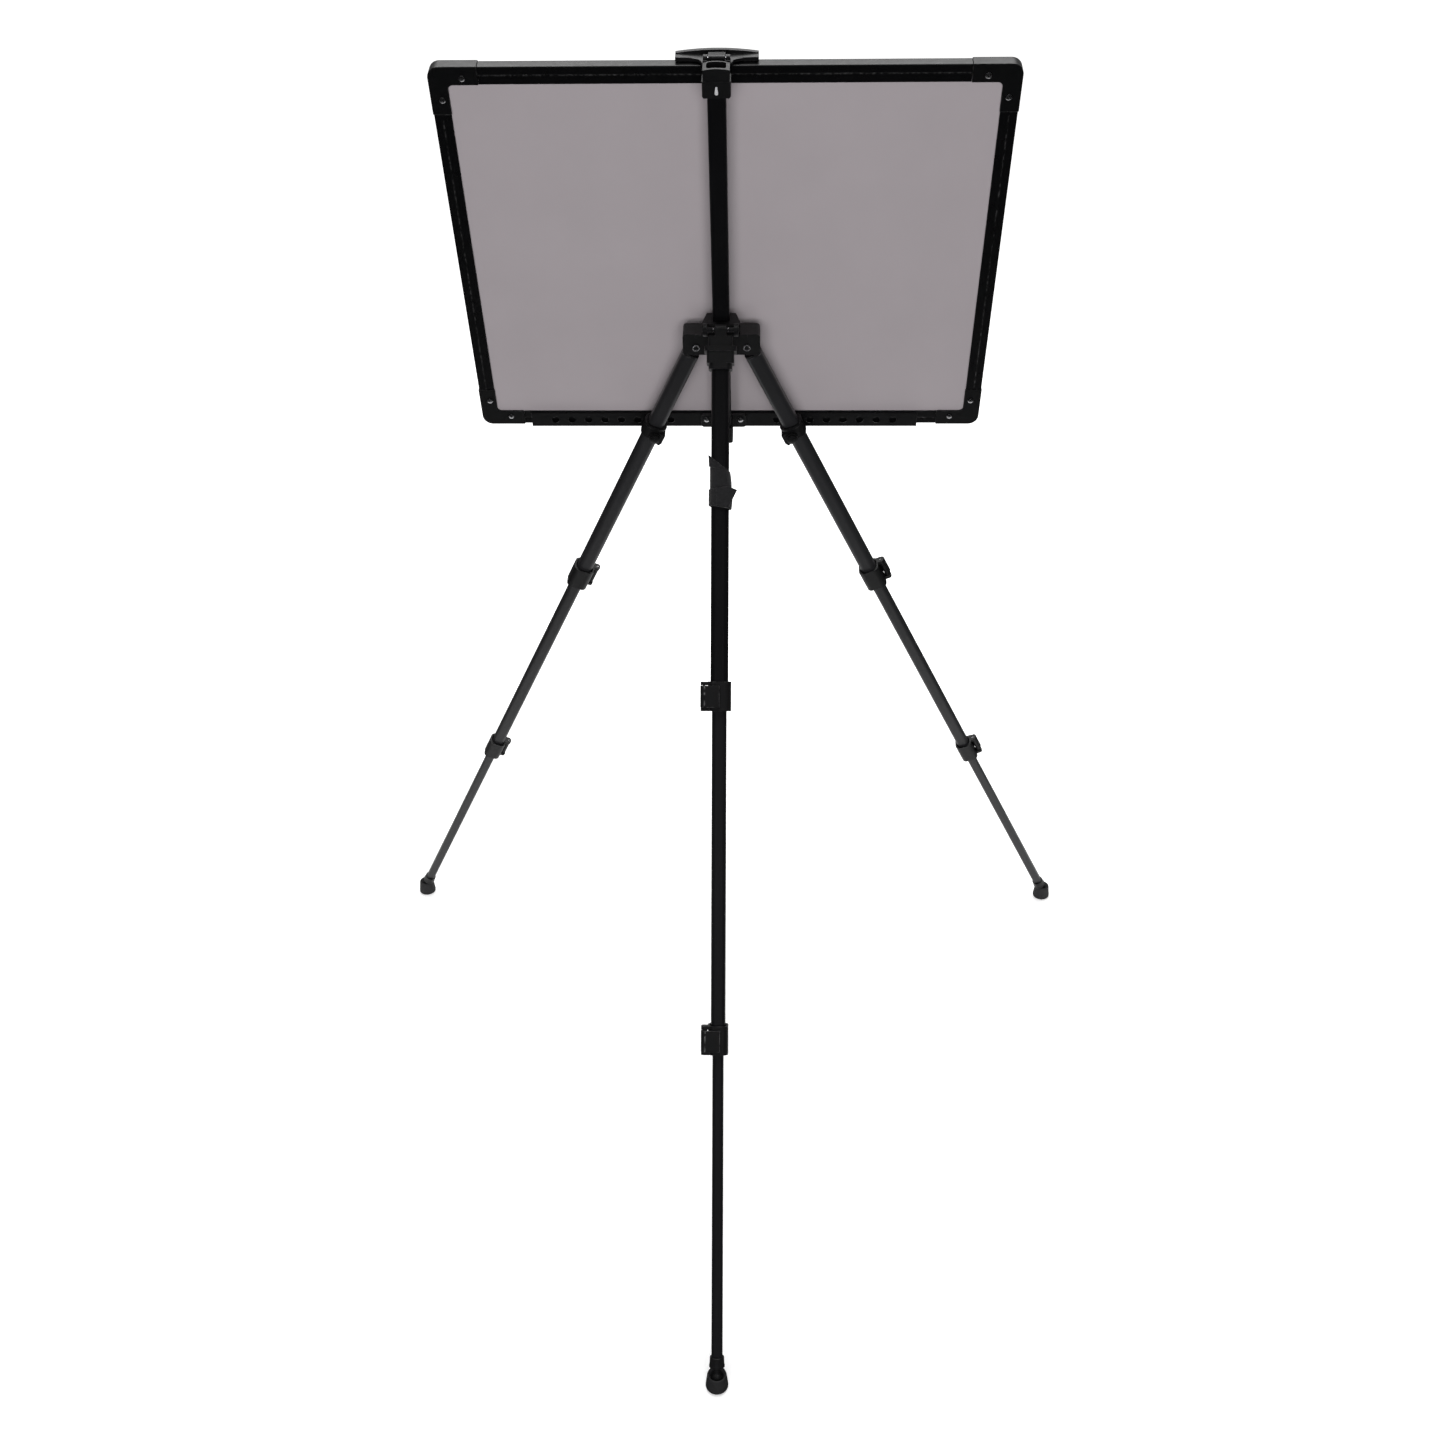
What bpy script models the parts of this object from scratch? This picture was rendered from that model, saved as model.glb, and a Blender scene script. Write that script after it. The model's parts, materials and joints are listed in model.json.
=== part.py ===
"""Tripod field easel with a framed writing board. Metres, +Z up, the writing face looks along -Y.

The origin lies on the floor, midway between the feet. The mast leans back, the two side legs lie in
the mast's plane, and the rear leg swings back from a hinge behind the hub.
"""

import math

import bmesh
import bpy
from mathutils import Matrix, Vector

# Clearances
GAP = 0.0003
SLIDE_GAP = 0.0003

# Stance
MAST_LEAN = math.radians(18.5)
SIDE_SPREAD = math.radians(24.0)

# Leg sections, measured along a leg from its pivot to the floor
SIDE_FIRST = 0.402
REAR_FIRST = 0.409
SECOND = 0.390
THIRD = 0.4095
TUBE_OVERLAP = 0.045
TUBE_SIZES = ((0.0200, 0.0180, 0.0062), (0.0166, 0.0146, 0.0050), (0.0128, 0.0112, 0.0040))
TUBE_WALL = 0.0011

# Hub block, in the mast's frame
SIDE_PIVOT_X = 0.029
HUB_HALF_WIDTH = 0.0440
HUB_BACK = 0.0120
HUB_FRONT = -0.0100
HUB_TOP = 0.0178
HUB_BOTTOM = -0.0098
HUB_CORNER = 0.0045
BOSS_TOP = 0.0310
BOSS_BACK_HALF = 0.0215
BOSS_FRONT_HALF = 0.0165
SIDE_EYE_RADIUS = 0.0075
SIDE_EYE_THICK = 0.0100
SIDE_TANG_HALF = 0.0065
SIDE_PIN_RADIUS = 0.0027
SIDE_HEAD_TOP = 0.0155
SIDE_TUBE_TOP = 0.0180
RIVET_FLANGE_RADIUS = 0.0041
RIVET_FLANGE = 0.0008
RIVET_BORE_RADIUS = 0.0021

# Rear hinge, in the mast's frame
REAR_PIVOT_Y = 0.026
REAR_PIVOT_Z = 0.034
REAR_PIN_RADIUS = 0.0025
REAR_EYE_RADIUS = 0.0062
REAR_EYE_HALF = 0.0060
REAR_EAR_INNER = 0.0148
REAR_EAR_THICK = 0.0050
REAR_EAR_RADIUS = 0.0072
REAR_TUBE_TOP = 0.0268

# Mast
MAST_WIDTH = 0.0192
MAST_DEPTH = 0.0120
MAST_CORNER = 0.0025
MAST_BOTTOM = -0.1395
MAST_TOP = 0.3180

# Board
BOARD_WIDTH = 0.600
BOARD_HEIGHT = 0.450
BOARD_THICK = 0.0150
BOARD_BACK = -0.0200
BOARD_BOTTOM = -0.1345
BOARD_SHIFT = -0.0070
RAIL_WIDTH = 0.0190
RAIL_INSET = 0.0006
RAIL_SLOT_DEPTH = 0.0070
CAP_ARM = 0.0510
CAP_RADIUS = 0.0120
SHEET_RECESS = 0.0026
SHEET_THICK = 0.0012
FACE_RECESS = 0.0016
FACE_THICK = 0.0060

# Ledge
LEDGE_LENGTH = 0.466
LEDGE_SHEET = 0.0012
LEDGE_FLANGE_BACK = -0.0170
LEDGE_FLANGE_HEIGHT = 0.0205
LEDGE_REACH = 0.0120
LEDGE_LIP = 0.0080
HOLE_RADIUS = 0.0046
HOLE_PITCH = 0.0200
HOLE_FIRST = 0.0640
HOLE_COUNT = 8
HOLE_HEIGHT = 0.0105
LEDGE_SCREW_X = 0.0203
SCREW_HEAD_RADIUS = 0.0034
SCREW_HEAD = 0.0018
SCREW_SHANK_RADIUS = 0.0016
BRACKET_HALF = 0.0270
BRACKET_PLATE = 0.0034

# Top clamp
SLEEVE_HALF = 0.0145
SLEEVE_BACK = 0.0095
SLEEVE_FRONT = -0.0090
SLEEVE_BOTTOM = 0.2960
SLEEVE_TOP = 0.3262
STEM_HALF = 0.0135
JAW_HALF = 0.0420
JAW_FRONT = -0.0395
JAW_BACK = -0.0275
JAW_DROP = 0.0120
JAW_HINGE_Y = -0.0210
JAW_HINGE_Z = 0.3222
JAW_PIN_RADIUS = 0.0016

# Flip locks: the housing's wall round the thicker tube, and its lever
LOCK_HALF = 0.0165
LOCK_WALL = 0.0030
LOCK_EAR_REACH = 0.0076
LOCK_EAR_THICK = 0.0040
LOCK_EAR_DEPTH = 0.0094
LOCK_STEP = 0.0020
LOCK_BARREL_RADIUS = 0.0033
LOCK_BARREL_DROP = 0.0062
LEVER_THICK = 0.0026
LEVER_REACH = 0.0180

# Leg clips
CLIP_PLACE = 0.1350
CLIP_HALF = 0.0090
CLIP_WALL = 0.0032
CLIP_PEG_REACH = 0.0270
PEG_HALF = 0.0040
PEG_HEIGHT = 0.0048
PEG_GAP = 0.0006

# Feet
BALL_HEIGHT = 0.0150
BALL_RADIUS = 0.0070
CUP_RIM = 0.0065
CUP_SEGMENTS = 28
PLUG_NECK_RADIUS = 0.0042
PLUG_FLANGE_RADIUS = 0.0090
PLUG_FLANGE_LOW = 0.0126
PLUG_TOP = 0.0248
PLUG_SOCKET = 0.0164

# Strap round the rear leg
STRAP_START = 0.1500
STRAP_END = 0.1995
STRAP_THICK = 0.0024
STRAP_TAIL_REACH = 0.0060
STRAP_TAIL_LENGTH = 0.0180

SIDE_LENGTH = SIDE_FIRST + SECOND + THIRD
REAR_LENGTH = REAR_FIRST + SECOND + THIRD
HUB_HEIGHT = SIDE_LENGTH * math.cos(SIDE_SPREAD) * math.cos(MAST_LEAN)
REAR_PIVOT_HEIGHT = HUB_HEIGHT + REAR_PIVOT_Z * math.cos(MAST_LEAN) - REAR_PIVOT_Y * math.sin(MAST_LEAN)
REAR_ANGLE = math.acos(REAR_PIVOT_HEIGHT / REAR_LENGTH)
SIDE_LEAN = math.acos(math.cos(SIDE_SPREAD) * math.cos(MAST_LEAN))
SIDE_BALL = SIDE_LENGTH - BALL_HEIGHT / math.cos(SIDE_LEAN)
REAR_BALL = REAR_LENGTH - BALL_HEIGHT / math.cos(REAR_ANGLE)
FRONT_FOOT_Y = -SIDE_BALL * math.cos(SIDE_SPREAD) * math.sin(MAST_LEAN)
REAR_FOOT_Y = (
    REAR_PIVOT_Z * math.sin(MAST_LEAN)
    + REAR_PIVOT_Y * math.cos(MAST_LEAN)
    + REAR_BALL * math.sin(REAR_ANGLE)
)
HUB_Y = -(FRONT_FOOT_Y + REAR_FOOT_Y) / 2


def clear_scene():
    """Remove every object of the scene."""
    for obj in list(bpy.data.objects):
        bpy.data.objects.remove(obj, do_unlink=True)


def new_collection(name):
    """Add a collection to the scene."""
    collection = bpy.data.collections.new(name)
    bpy.context.scene.collection.children.link(collection)
    return collection


clear_scene()
PARTS = new_collection("tripod_field_easel")
CUTTERS = new_collection("cutters")


def material(name, colour, roughness, metallic=0.0):
    """Make a Principled material."""
    made = bpy.data.materials.new(name)
    made.use_nodes = True
    shader = made.node_tree.nodes["Principled BSDF"]
    shader.inputs["Base Color"].default_value = (*colour, 1.0)
    shader.inputs["Roughness"].default_value = roughness
    shader.inputs["Metallic"].default_value = metallic
    return made


BLACK_TUBE = material("black_tube", (0.012, 0.012, 0.014), 0.42, 0.3)
BLACK_PLASTIC = material("black_plastic", (0.016, 0.016, 0.017), 0.5)
BLACK_FRAME = material("black_frame", (0.01, 0.01, 0.011), 0.38, 0.3)
BLACK_SHEET = material("black_sheet", (0.014, 0.014, 0.015), 0.45, 0.4)
GREY_SHEET = material("grey_sheet", (0.34, 0.31, 0.33), 0.35)
WHITE_FACE = material("white_face", (0.86, 0.87, 0.87), 0.15)
STEEL = material("steel", (0.62, 0.62, 0.64), 0.25, 1.0)
RUBBER = material("rubber", (0.02, 0.02, 0.021), 0.75)
WEBBING = material("webbing", (0.012, 0.012, 0.013), 0.9)


def frame_empty(name, matrix, parent=None):
    """Add an empty that carries a piece's frame."""
    empty = bpy.data.objects.new(name, None)
    PARTS.objects.link(empty)
    empty.parent = parent
    empty.matrix_basis = matrix
    return empty


def rounded_rectangle(width, depth, radius, steps=3, centre=(0.0, 0.0)):
    """Return the outline of a rectangle with round corners, anticlockwise."""
    points = []
    corners = ((1, 1, 0), (-1, 1, 90), (-1, -1, 180), (1, -1, 270))
    for side_x, side_y, start in corners:
        middle_x = centre[0] + side_x * (width / 2 - radius)
        middle_y = centre[1] + side_y * (depth / 2 - radius)
        for step in range(steps + 1):
            turn = math.radians(start + 90 * step / steps)
            points.append((middle_x + radius * math.cos(turn), middle_y + radius * math.sin(turn)))
    return points


def arc(centre, radius, start, end, steps):
    """Return points on an arc between two angles in degrees."""
    points = []
    for step in range(steps + 1):
        turn = math.radians(start + (end - start) * step / steps)
        points.append((centre[0] + radius * math.cos(turn), centre[1] + radius * math.sin(turn)))
    return points


def finish_mesh(mesh, name, finish, smooth=True):
    """Give a mesh its object, its material and its shading."""
    mesh.name = name
    mesh.materials.clear()
    mesh.materials.append(finish)
    if smooth:
        mesh.shade_smooth()
        mesh.set_sharp_from_angle(angle=math.radians(32))
    obj = bpy.data.objects.new(name, mesh)
    PARTS.objects.link(obj)
    return obj


AXIS_TURNS = {
    "X": Matrix(((0, 0, 1, 0), (1, 0, 0, 0), (0, 1, 0, 0), (0, 0, 0, 1))),
    "Y": Matrix(((1, 0, 0, 0), (0, 0, 1, 0), (0, 1, 0, 0), (0, 0, 0, 1))),
    "Z": Matrix.Identity(4),
}


def prism(name, loops, low, high, finish, axis="Z"):
    """Extrude flat outlines along an axis. An X prism's outline is (y, z), and a Y prism's is (x, z)."""
    curve = bpy.data.curves.new(name, "CURVE")
    curve.dimensions = "2D"
    curve.fill_mode = "BOTH"
    curve.extrude = (high - low) / 2
    for loop in loops:
        spline = curve.splines.new("POLY")
        spline.points.add(len(loop) - 1)
        for point, place in zip(spline.points, loop):
            point.co = (place[0], place[1], 0.0, 1.0)
        spline.use_cyclic_u = True
    outline = bpy.data.objects.new(name, curve)
    PARTS.objects.link(outline)
    graph = bpy.context.evaluated_depsgraph_get()
    mesh = bpy.data.meshes.new_from_object(outline.evaluated_get(graph))
    bpy.data.objects.remove(outline, do_unlink=True)
    middle = Matrix.Translation((0.0, 0.0, (low + high) / 2))
    mesh.transform(AXIS_TURNS[axis] @ middle)
    body = bmesh.new()
    body.from_mesh(mesh)
    bmesh.ops.remove_doubles(body, verts=body.verts, dist=0.000001)
    bmesh.ops.recalc_face_normals(body, faces=body.faces)
    body.to_mesh(mesh)
    body.free()
    return finish_mesh(mesh, name, finish)


def box(name, low, high, finish):
    """Make a box between two corners."""
    mesh = bpy.data.meshes.new(name)
    body = bmesh.new()
    bmesh.ops.create_cube(body, size=1.0)
    size = Vector(high) - Vector(low)
    middle = (Vector(high) + Vector(low)) / 2
    stretch = Matrix.Translation(middle) @ Matrix.Diagonal((*size, 1.0))
    bmesh.ops.transform(body, matrix=stretch, verts=body.verts)
    body.to_mesh(mesh)
    body.free()
    return finish_mesh(mesh, name, finish, smooth=False)


def cylinder(name, radius, low, high, axis, centre, finish, segments=20):
    """Make a cylinder along an axis; centre gives its other two coordinates in X, Y, Z order."""
    circle = arc(centre, radius, 0, 360 - 360 / segments, segments - 1)
    return prism(name, [circle], low, high, finish, axis)


def turned(name, profile, finish, segments):
    """Spin a profile of (radius, height) round the Z axis; it runs down its outer side."""
    mesh = bpy.data.meshes.new(name)
    body = bmesh.new()
    line = [body.verts.new((radius, 0.0, height)) for radius, height in profile]
    for first, second in zip(line, line[1:]):
        body.edges.new((first, second))
    body.to_mesh(mesh)
    body.free()
    obj = finish_mesh(mesh, name, finish, smooth=False)
    spin = obj.modifiers.new("Spin", "SCREW")
    spin.steps = segments
    spin.render_steps = segments
    spin.use_merge_vertices = True
    spin.merge_threshold = 0.00001
    spin.use_smooth_shade = True
    return obj


def operand(target, tool, operation):
    """Cut a tool from a piece or join it on; both are drawn in the piece's own frame."""
    for collection in list(tool.users_collection):
        collection.objects.unlink(tool)
    CUTTERS.objects.link(tool)
    tool.parent = target
    tool.hide_render = True
    tool.display_type = "WIRE"
    step = target.modifiers.new(tool.name, "BOOLEAN")
    step.operation = operation
    step.solver = "EXACT"
    step.object = tool
    return target


def cut(target, tool):
    """Cut a tool from a piece."""
    return operand(target, tool, "DIFFERENCE")


def join(target, tool):
    """Join a tool to a piece."""
    return operand(target, tool, "UNION")


def place(obj, parent, location=(0.0, 0.0, 0.0)):
    """Hang a piece on its frame."""
    obj.parent = parent
    obj.location = location
    return obj


def tube(name, size, low, high, parent):
    """Make one leg section, an open tube of rounded section."""
    width, depth, radius = size
    outer = rounded_rectangle(width, depth, radius, 4)
    inner = rounded_rectangle(
        width - 2 * TUBE_WALL, depth - 2 * TUBE_WALL, radius - TUBE_WALL, 4
    )
    return place(prism(name, [outer, inner], low, high, BLACK_TUBE), parent)


def bore_outline(size, clearance):
    """Return the outline of a hole that takes a tube."""
    width, depth, radius = size
    return rounded_rectangle(width + 2 * clearance, depth + 2 * clearance, radius + clearance, 4)


def lock_sizes(section):
    """Return the half width and half depth of the housing round a leg section."""
    width, depth, _ = TUBE_SIZES[section]
    return width / 2 + SLIDE_GAP + LOCK_WALL, depth / 2 + SLIDE_GAP + LOCK_WALL


def flip_lock(prefix, place_name, section, height, turn, frame):
    """Make the housing and the lever that clamp one leg section on the next.

    The lever's pivot is on the housing's +X side and its panel on the +Y face; a turn of -1 swings both half
    a turn round the leg.
    """
    half_width, half_depth = lock_sizes(section)
    barrel_x = half_width + 0.0006 + LOCK_BARREL_RADIUS
    barrel_y = half_depth - LOCK_BARREL_DROP
    outline = rounded_rectangle(2 * half_width, 2 * half_depth, 0.0070, 4)
    housing = prism(f"{prefix}_{place_name}_lock", [outline], -LOCK_HALF, LOCK_HALF, BLACK_PLASTIC)
    ear_low = half_width - 0.0040
    ear_high = half_width + LOCK_EAR_REACH
    ear_middle = (turn * (ear_low + ear_high) / 2, turn * barrel_y)
    ear = rounded_rectangle(ear_high - ear_low, LOCK_EAR_DEPTH, 0.0024, 2, ear_middle)
    for side in (-1, 1):
        ends = sorted((side * (LOCK_HALF - LOCK_EAR_THICK), side * LOCK_HALF))
        join(housing, prism(f"{prefix}_{place_name}_ear_{side + 1}", [ear], *ends, BLACK_PLASTIC))
    upper = bore_outline(TUBE_SIZES[section], SLIDE_GAP)
    lower = bore_outline(TUBE_SIZES[section + 1], SLIDE_GAP)
    name = f"{prefix}_{place_name}_bore"
    cut(housing, prism(f"{name}_a", [upper], -LOCK_STEP, LOCK_HALF + 0.001, BLACK_PLASTIC))
    cut(housing, prism(f"{name}_b", [lower], -LOCK_HALF - 0.001, -LOCK_STEP + 0.001, BLACK_PLASTIC))
    place(housing, frame, (0.0, 0.0, -height))

    inner_y = LOCK_BARREL_DROP + GAP + 0.0001
    outer_y = inner_y + LEVER_THICK
    outer_x = 0.0038
    points = [(-LEVER_REACH, inner_y), (-0.0012, inner_y), (-0.0012, 0.0030)]
    points += arc((0.0, 0.0), LOCK_BARREL_RADIUS, 125, 350, 9)
    points += [(outer_x, outer_y - 0.0040)]
    points += arc((outer_x - 0.0035, outer_y - 0.0035), 0.0035, 15, 90, 3)
    points += [(0.0008 - LEVER_REACH, outer_y), (-LEVER_REACH, outer_y - 0.0008)]
    points = [(turn * x, turn * y) for x, y in points]
    lever_half = LOCK_HALF - LOCK_EAR_THICK - 0.0004
    lever = prism(f"{prefix}_{place_name}_lever", [points], -lever_half, lever_half, BLACK_PLASTIC)
    place(lever, frame, (turn * barrel_x, turn * barrel_y, -height))


def foot_plug(prefix, ball_place, frame):
    """Make the ball and collar that close the lowest section."""
    neck_height = math.sqrt(BALL_RADIUS**2 - PLUG_NECK_RADIUS**2)
    profile = [
        (0.0, PLUG_TOP),
        (0.0082, PLUG_TOP),
        (0.0086, PLUG_FLANGE_LOW + 0.0034),
        (PLUG_FLANGE_RADIUS, PLUG_FLANGE_LOW + 0.0026),
        (PLUG_FLANGE_RADIUS, PLUG_FLANGE_LOW),
        (PLUG_NECK_RADIUS, PLUG_FLANGE_LOW - 0.0010),
    ]
    start = math.degrees(math.asin(neck_height / BALL_RADIUS))
    profile += arc((0.0, 0.0), BALL_RADIUS, start, -90, 6)
    profile[-1] = (0.0, -BALL_RADIUS)
    plug = turned(f"{prefix}_foot_plug", profile, BLACK_PLASTIC, 20)
    socket = prism(
        f"{prefix}_plug_socket", [bore_outline(TUBE_SIZES[2], GAP)], PLUG_SOCKET, PLUG_TOP + 0.001, BLACK_PLASTIC
    )
    cut(plug, socket)
    place(plug, frame, (0.0, 0.0, -ball_place))


def foot_cup(prefix, centre):
    """Make the rubber cup that stands flat on the floor round the ball."""
    inner = BALL_RADIUS + 0.0003
    profile = arc((0.0, 0.0), inner, -90, 14, 6)
    profile[0] = (0.0, -inner)
    profile += [
        (0.0086, 0.0042),
        (0.0096, CUP_RIM),
        (0.0107, CUP_RIM),
        (0.0113, 0.0050),
        (0.0129, -0.0090),
        (0.0131, -0.0112),
        (0.0126, -0.0134),
        (0.0110, -BALL_HEIGHT),
        (0.0, -BALL_HEIGHT),
    ]
    cup = turned(f"{prefix}_foot_cup", profile, RUBBER, CUP_SEGMENTS)
    cup.location = centre


def leg_sections(prefix, frame, first, ball_place, tube_top, turn):
    """Make the three tubes, two flip locks and foot plug of a leg."""
    second_place = first + SECOND
    stop = LOCK_STEP - GAP
    tube(f"{prefix}_upper_tube", TUBE_SIZES[0], -first - stop, -tube_top, frame)
    tube(f"{prefix}_middle_tube", TUBE_SIZES[1], -second_place - stop, -first + TUBE_OVERLAP, frame)
    tube(
        f"{prefix}_lower_tube",
        TUBE_SIZES[2],
        PLUG_SOCKET + GAP - ball_place,
        -second_place + TUBE_OVERLAP,
        frame,
    )
    flip_lock(prefix, "upper", 0, first, turn, frame)
    flip_lock(prefix, "lower", 1, second_place, turn, frame)
    foot_plug(prefix, ball_place, frame)


def side_head(prefix, frame):
    """Make the plug and eye that hang a side leg in the hub."""
    half = SIDE_EYE_THICK / 2
    eye = cylinder(f"{prefix}_leg_head", SIDE_EYE_RADIUS, -half, half, "Y", (0.0, 0.0), BLACK_PLASTIC, 24)
    name = f"{prefix}_head"
    tang = box(f"{name}_tang", (-SIDE_TANG_HALF, -half, -0.0175), (SIDE_TANG_HALF, half, 0.0), BLACK_PLASTIC)
    join(eye, tang)
    width, depth, radius = TUBE_SIZES[0]
    shoulder = rounded_rectangle(width, depth, radius, 4)
    join(eye, prism(f"{name}_cap", [shoulder], -SIDE_TUBE_TOP + GAP, -SIDE_HEAD_TOP, BLACK_PLASTIC))
    inset = 2 * (TUBE_WALL + GAP)
    spigot = rounded_rectangle(width - inset, depth - inset, radius - inset / 2, 4)
    join(eye, prism(f"{name}_spigot", [spigot], -0.042, -SIDE_HEAD_TOP - 0.0005, BLACK_PLASTIC))
    hole = cylinder(f"{name}_hole", SIDE_PIN_RADIUS + GAP, -0.02, 0.02, "Y", (0.0, 0.0), BLACK_PLASTIC, 16)
    cut(eye, hole)
    place(eye, frame)


def leg_clip(prefix, frame, inward):
    """Make the clip that slides on a side leg with its peg under the ledge, and its locking screw."""
    width, depth, radius = TUBE_SIZES[0]
    ring = rounded_rectangle(width + 2 * CLIP_WALL, depth + 2 * CLIP_WALL, radius + CLIP_WALL, 4)
    clip = prism(f"{prefix}_leg_clip", [ring], -CLIP_HALF, CLIP_HALF, BLACK_PLASTIC)
    front = -(depth / 2 + CLIP_WALL)
    back = -front
    name = f"{prefix}_clip"
    clip_level = -CLIP_PLACE * math.cos(SIDE_SPREAD)
    peg_top = BOARD_BOTTOM - GAP - LEDGE_SHEET - PEG_GAP - clip_level
    peg = []
    for across, up in ((-1, -1), (1, -1), (1, 0), (-1, 0)):
        flat_x = across * PEG_HALF
        flat_z = peg_top + up * PEG_HEIGHT
        turn_x = flat_x * math.cos(SIDE_SPREAD) - inward * flat_z * math.sin(SIDE_SPREAD)
        turn_z = inward * flat_x * math.sin(SIDE_SPREAD) + flat_z * math.cos(SIDE_SPREAD)
        peg.append((turn_x, turn_z))
    peg_front = front - CLIP_PEG_REACH
    join(clip, prism(f"{name}_peg", [peg], peg_front, front + 0.0030, BLACK_PLASTIC, "Y"))
    middle = sum(x for x, _ in peg) / 4
    low_end = sum(z for _, z in peg) / 4
    root_low = (middle - PEG_HALF, front - 0.0005, low_end)
    root_high = (middle + PEG_HALF, front + 0.0030, 0.0)
    join(clip, box(f"{name}_peg_root", root_low, root_high, BLACK_PLASTIC))
    boss_x = inward * 0.0035
    boss_z = -0.0035
    boss_centre = (boss_x, boss_z)
    join(clip, cylinder(f"{name}_boss", 0.0068, back - 0.0020, back + 0.0042, "Y", boss_centre, BLACK_PLASTIC, 20))
    lug_x = sorted((inward * 0.0060, inward * (width / 2 + CLIP_WALL + 0.0012)))
    lug_low = (lug_x[0], 0.0020, -CLIP_HALF - 0.0050)
    join(clip, box(f"{name}_lug", lug_low, (lug_x[1], back + 0.0010, 0.0040), BLACK_PLASTIC))
    cut(clip, prism(f"{name}_bore", [bore_outline(TUBE_SIZES[0], SLIDE_GAP)], -0.03, 0.03, BLACK_PLASTIC))
    screw_hole = cylinder(f"{name}_hole", 0.0035, depth / 2, back + 0.0060, "Y", (boss_x, boss_z), BLACK_PLASTIC)
    cut(clip, screw_hole)
    place(clip, frame, (0.0, 0.0, -CLIP_PLACE))
    low = depth / 2 + SLIDE_GAP + GAP
    screw = cylinder(
        f"{prefix}_clip_screw", 0.0035 - GAP, low, back + 0.0052, "Y", (boss_x, boss_z), BLACK_PLASTIC
    )
    place(screw, frame, (0.0, 0.0, -CLIP_PLACE))


def side_leg(prefix, side, mast_frame):
    """Make one of the two side legs; side is +1 on +X."""
    pivot = Matrix.Translation((side * SIDE_PIVOT_X, 0.0, 0.0))
    matrix = pivot @ Matrix.Rotation(-side * SIDE_SPREAD, 4, "Y")
    frame = frame_empty(f"{prefix}_leg_frame", matrix, mast_frame)
    side_head(prefix, frame)
    leg_sections(prefix, frame, SIDE_FIRST, SIDE_BALL, SIDE_TUBE_TOP, -1)
    leg_clip(prefix, frame, -side)
    centre = mast_frame.matrix_basis @ matrix @ Vector((0.0, 0.0, -SIDE_BALL))
    foot_cup(prefix, centre)


def rear_head(frame):
    """Make the socket that holds the rear leg's tube and turns on the rear pin."""
    eye = cylinder(
        "rear_leg_head", REAR_EYE_RADIUS, -REAR_EYE_HALF, REAR_EYE_HALF, "X", (0.0, 0.0), BLACK_PLASTIC, 20
    )
    width, depth, radius = TUBE_SIZES[0]
    arm = box("rear_head_arm", (-REAR_EYE_HALF, -0.0055, -0.0120), (REAR_EYE_HALF, 0.0060, 0.0), BLACK_PLASTIC)
    join(eye, arm)
    join(eye, box("rear_head_yoke", (-0.0135, -0.0060, -0.0205), (0.0135, 0.0085, -0.0085), BLACK_PLASTIC))
    lip = rounded_rectangle(0.0360, 0.0226, 0.0040, 3)
    join(eye, prism("rear_head_lip", [lip], -0.0255, -0.0200, BLACK_PLASTIC))
    block = rounded_rectangle(0.0305, depth + 0.0052, 0.0035, 3)
    join(eye, prism("rear_head_block", [block], -0.0385, -0.0250, BLACK_PLASTIC))
    skirt = rounded_rectangle(width + 0.0064, depth + 0.0052, radius + 0.0020, 4)
    join(eye, prism("rear_head_skirt", [skirt], -0.0450, -0.0380, BLACK_PLASTIC))
    bore = bore_outline(TUBE_SIZES[0], GAP)
    cut(eye, prism("rear_head_bore", [bore], -0.0470, -REAR_TUBE_TOP + GAP, BLACK_PLASTIC))
    hole = cylinder("rear_head_hole", REAR_PIN_RADIUS + GAP, -0.02, 0.02, "X", (0.0, 0.0), BLACK_PLASTIC, 16)
    cut(eye, hole)
    place(eye, frame)


def leg_strap(frame):
    """Make the storage strap wound round the rear leg."""
    width, depth, radius = TUBE_SIZES[0]
    inner = rounded_rectangle(width + 2 * GAP, depth + 2 * GAP, radius + GAP, 4)
    outer_gap = 2 * (GAP + STRAP_THICK)
    outer = rounded_rectangle(width + outer_gap, depth + outer_gap, radius + outer_gap / 2, 4)
    strap = prism("leg_strap", [outer, inner], -STRAP_END, -STRAP_START, WEBBING)
    side = -(width / 2 + GAP + STRAP_THICK)
    tail_low = (side - STRAP_TAIL_REACH, 0.0035, -STRAP_END + 0.0020)
    tail_high = (side + 0.0020, 0.0060, -STRAP_END + 0.0020 + STRAP_TAIL_LENGTH)
    join(strap, box("strap_tail", tail_low, tail_high, WEBBING))
    place(strap, frame)


def rear_leg(mast_frame):
    """Make the rear leg."""
    pivot = Matrix.Translation((0.0, REAR_PIVOT_Y, REAR_PIVOT_Z))
    matrix = pivot @ Matrix.Rotation(MAST_LEAN + REAR_ANGLE, 4, "X")
    frame = frame_empty("rear_leg_frame", matrix, mast_frame)
    rear_head(frame)
    leg_sections("rear", frame, REAR_FIRST, REAR_BALL, REAR_TUBE_TOP, 1)
    leg_strap(frame)
    centre = mast_frame.matrix_basis @ matrix @ Vector((0.0, 0.0, -REAR_BALL))
    foot_cup("rear", centre)


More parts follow.
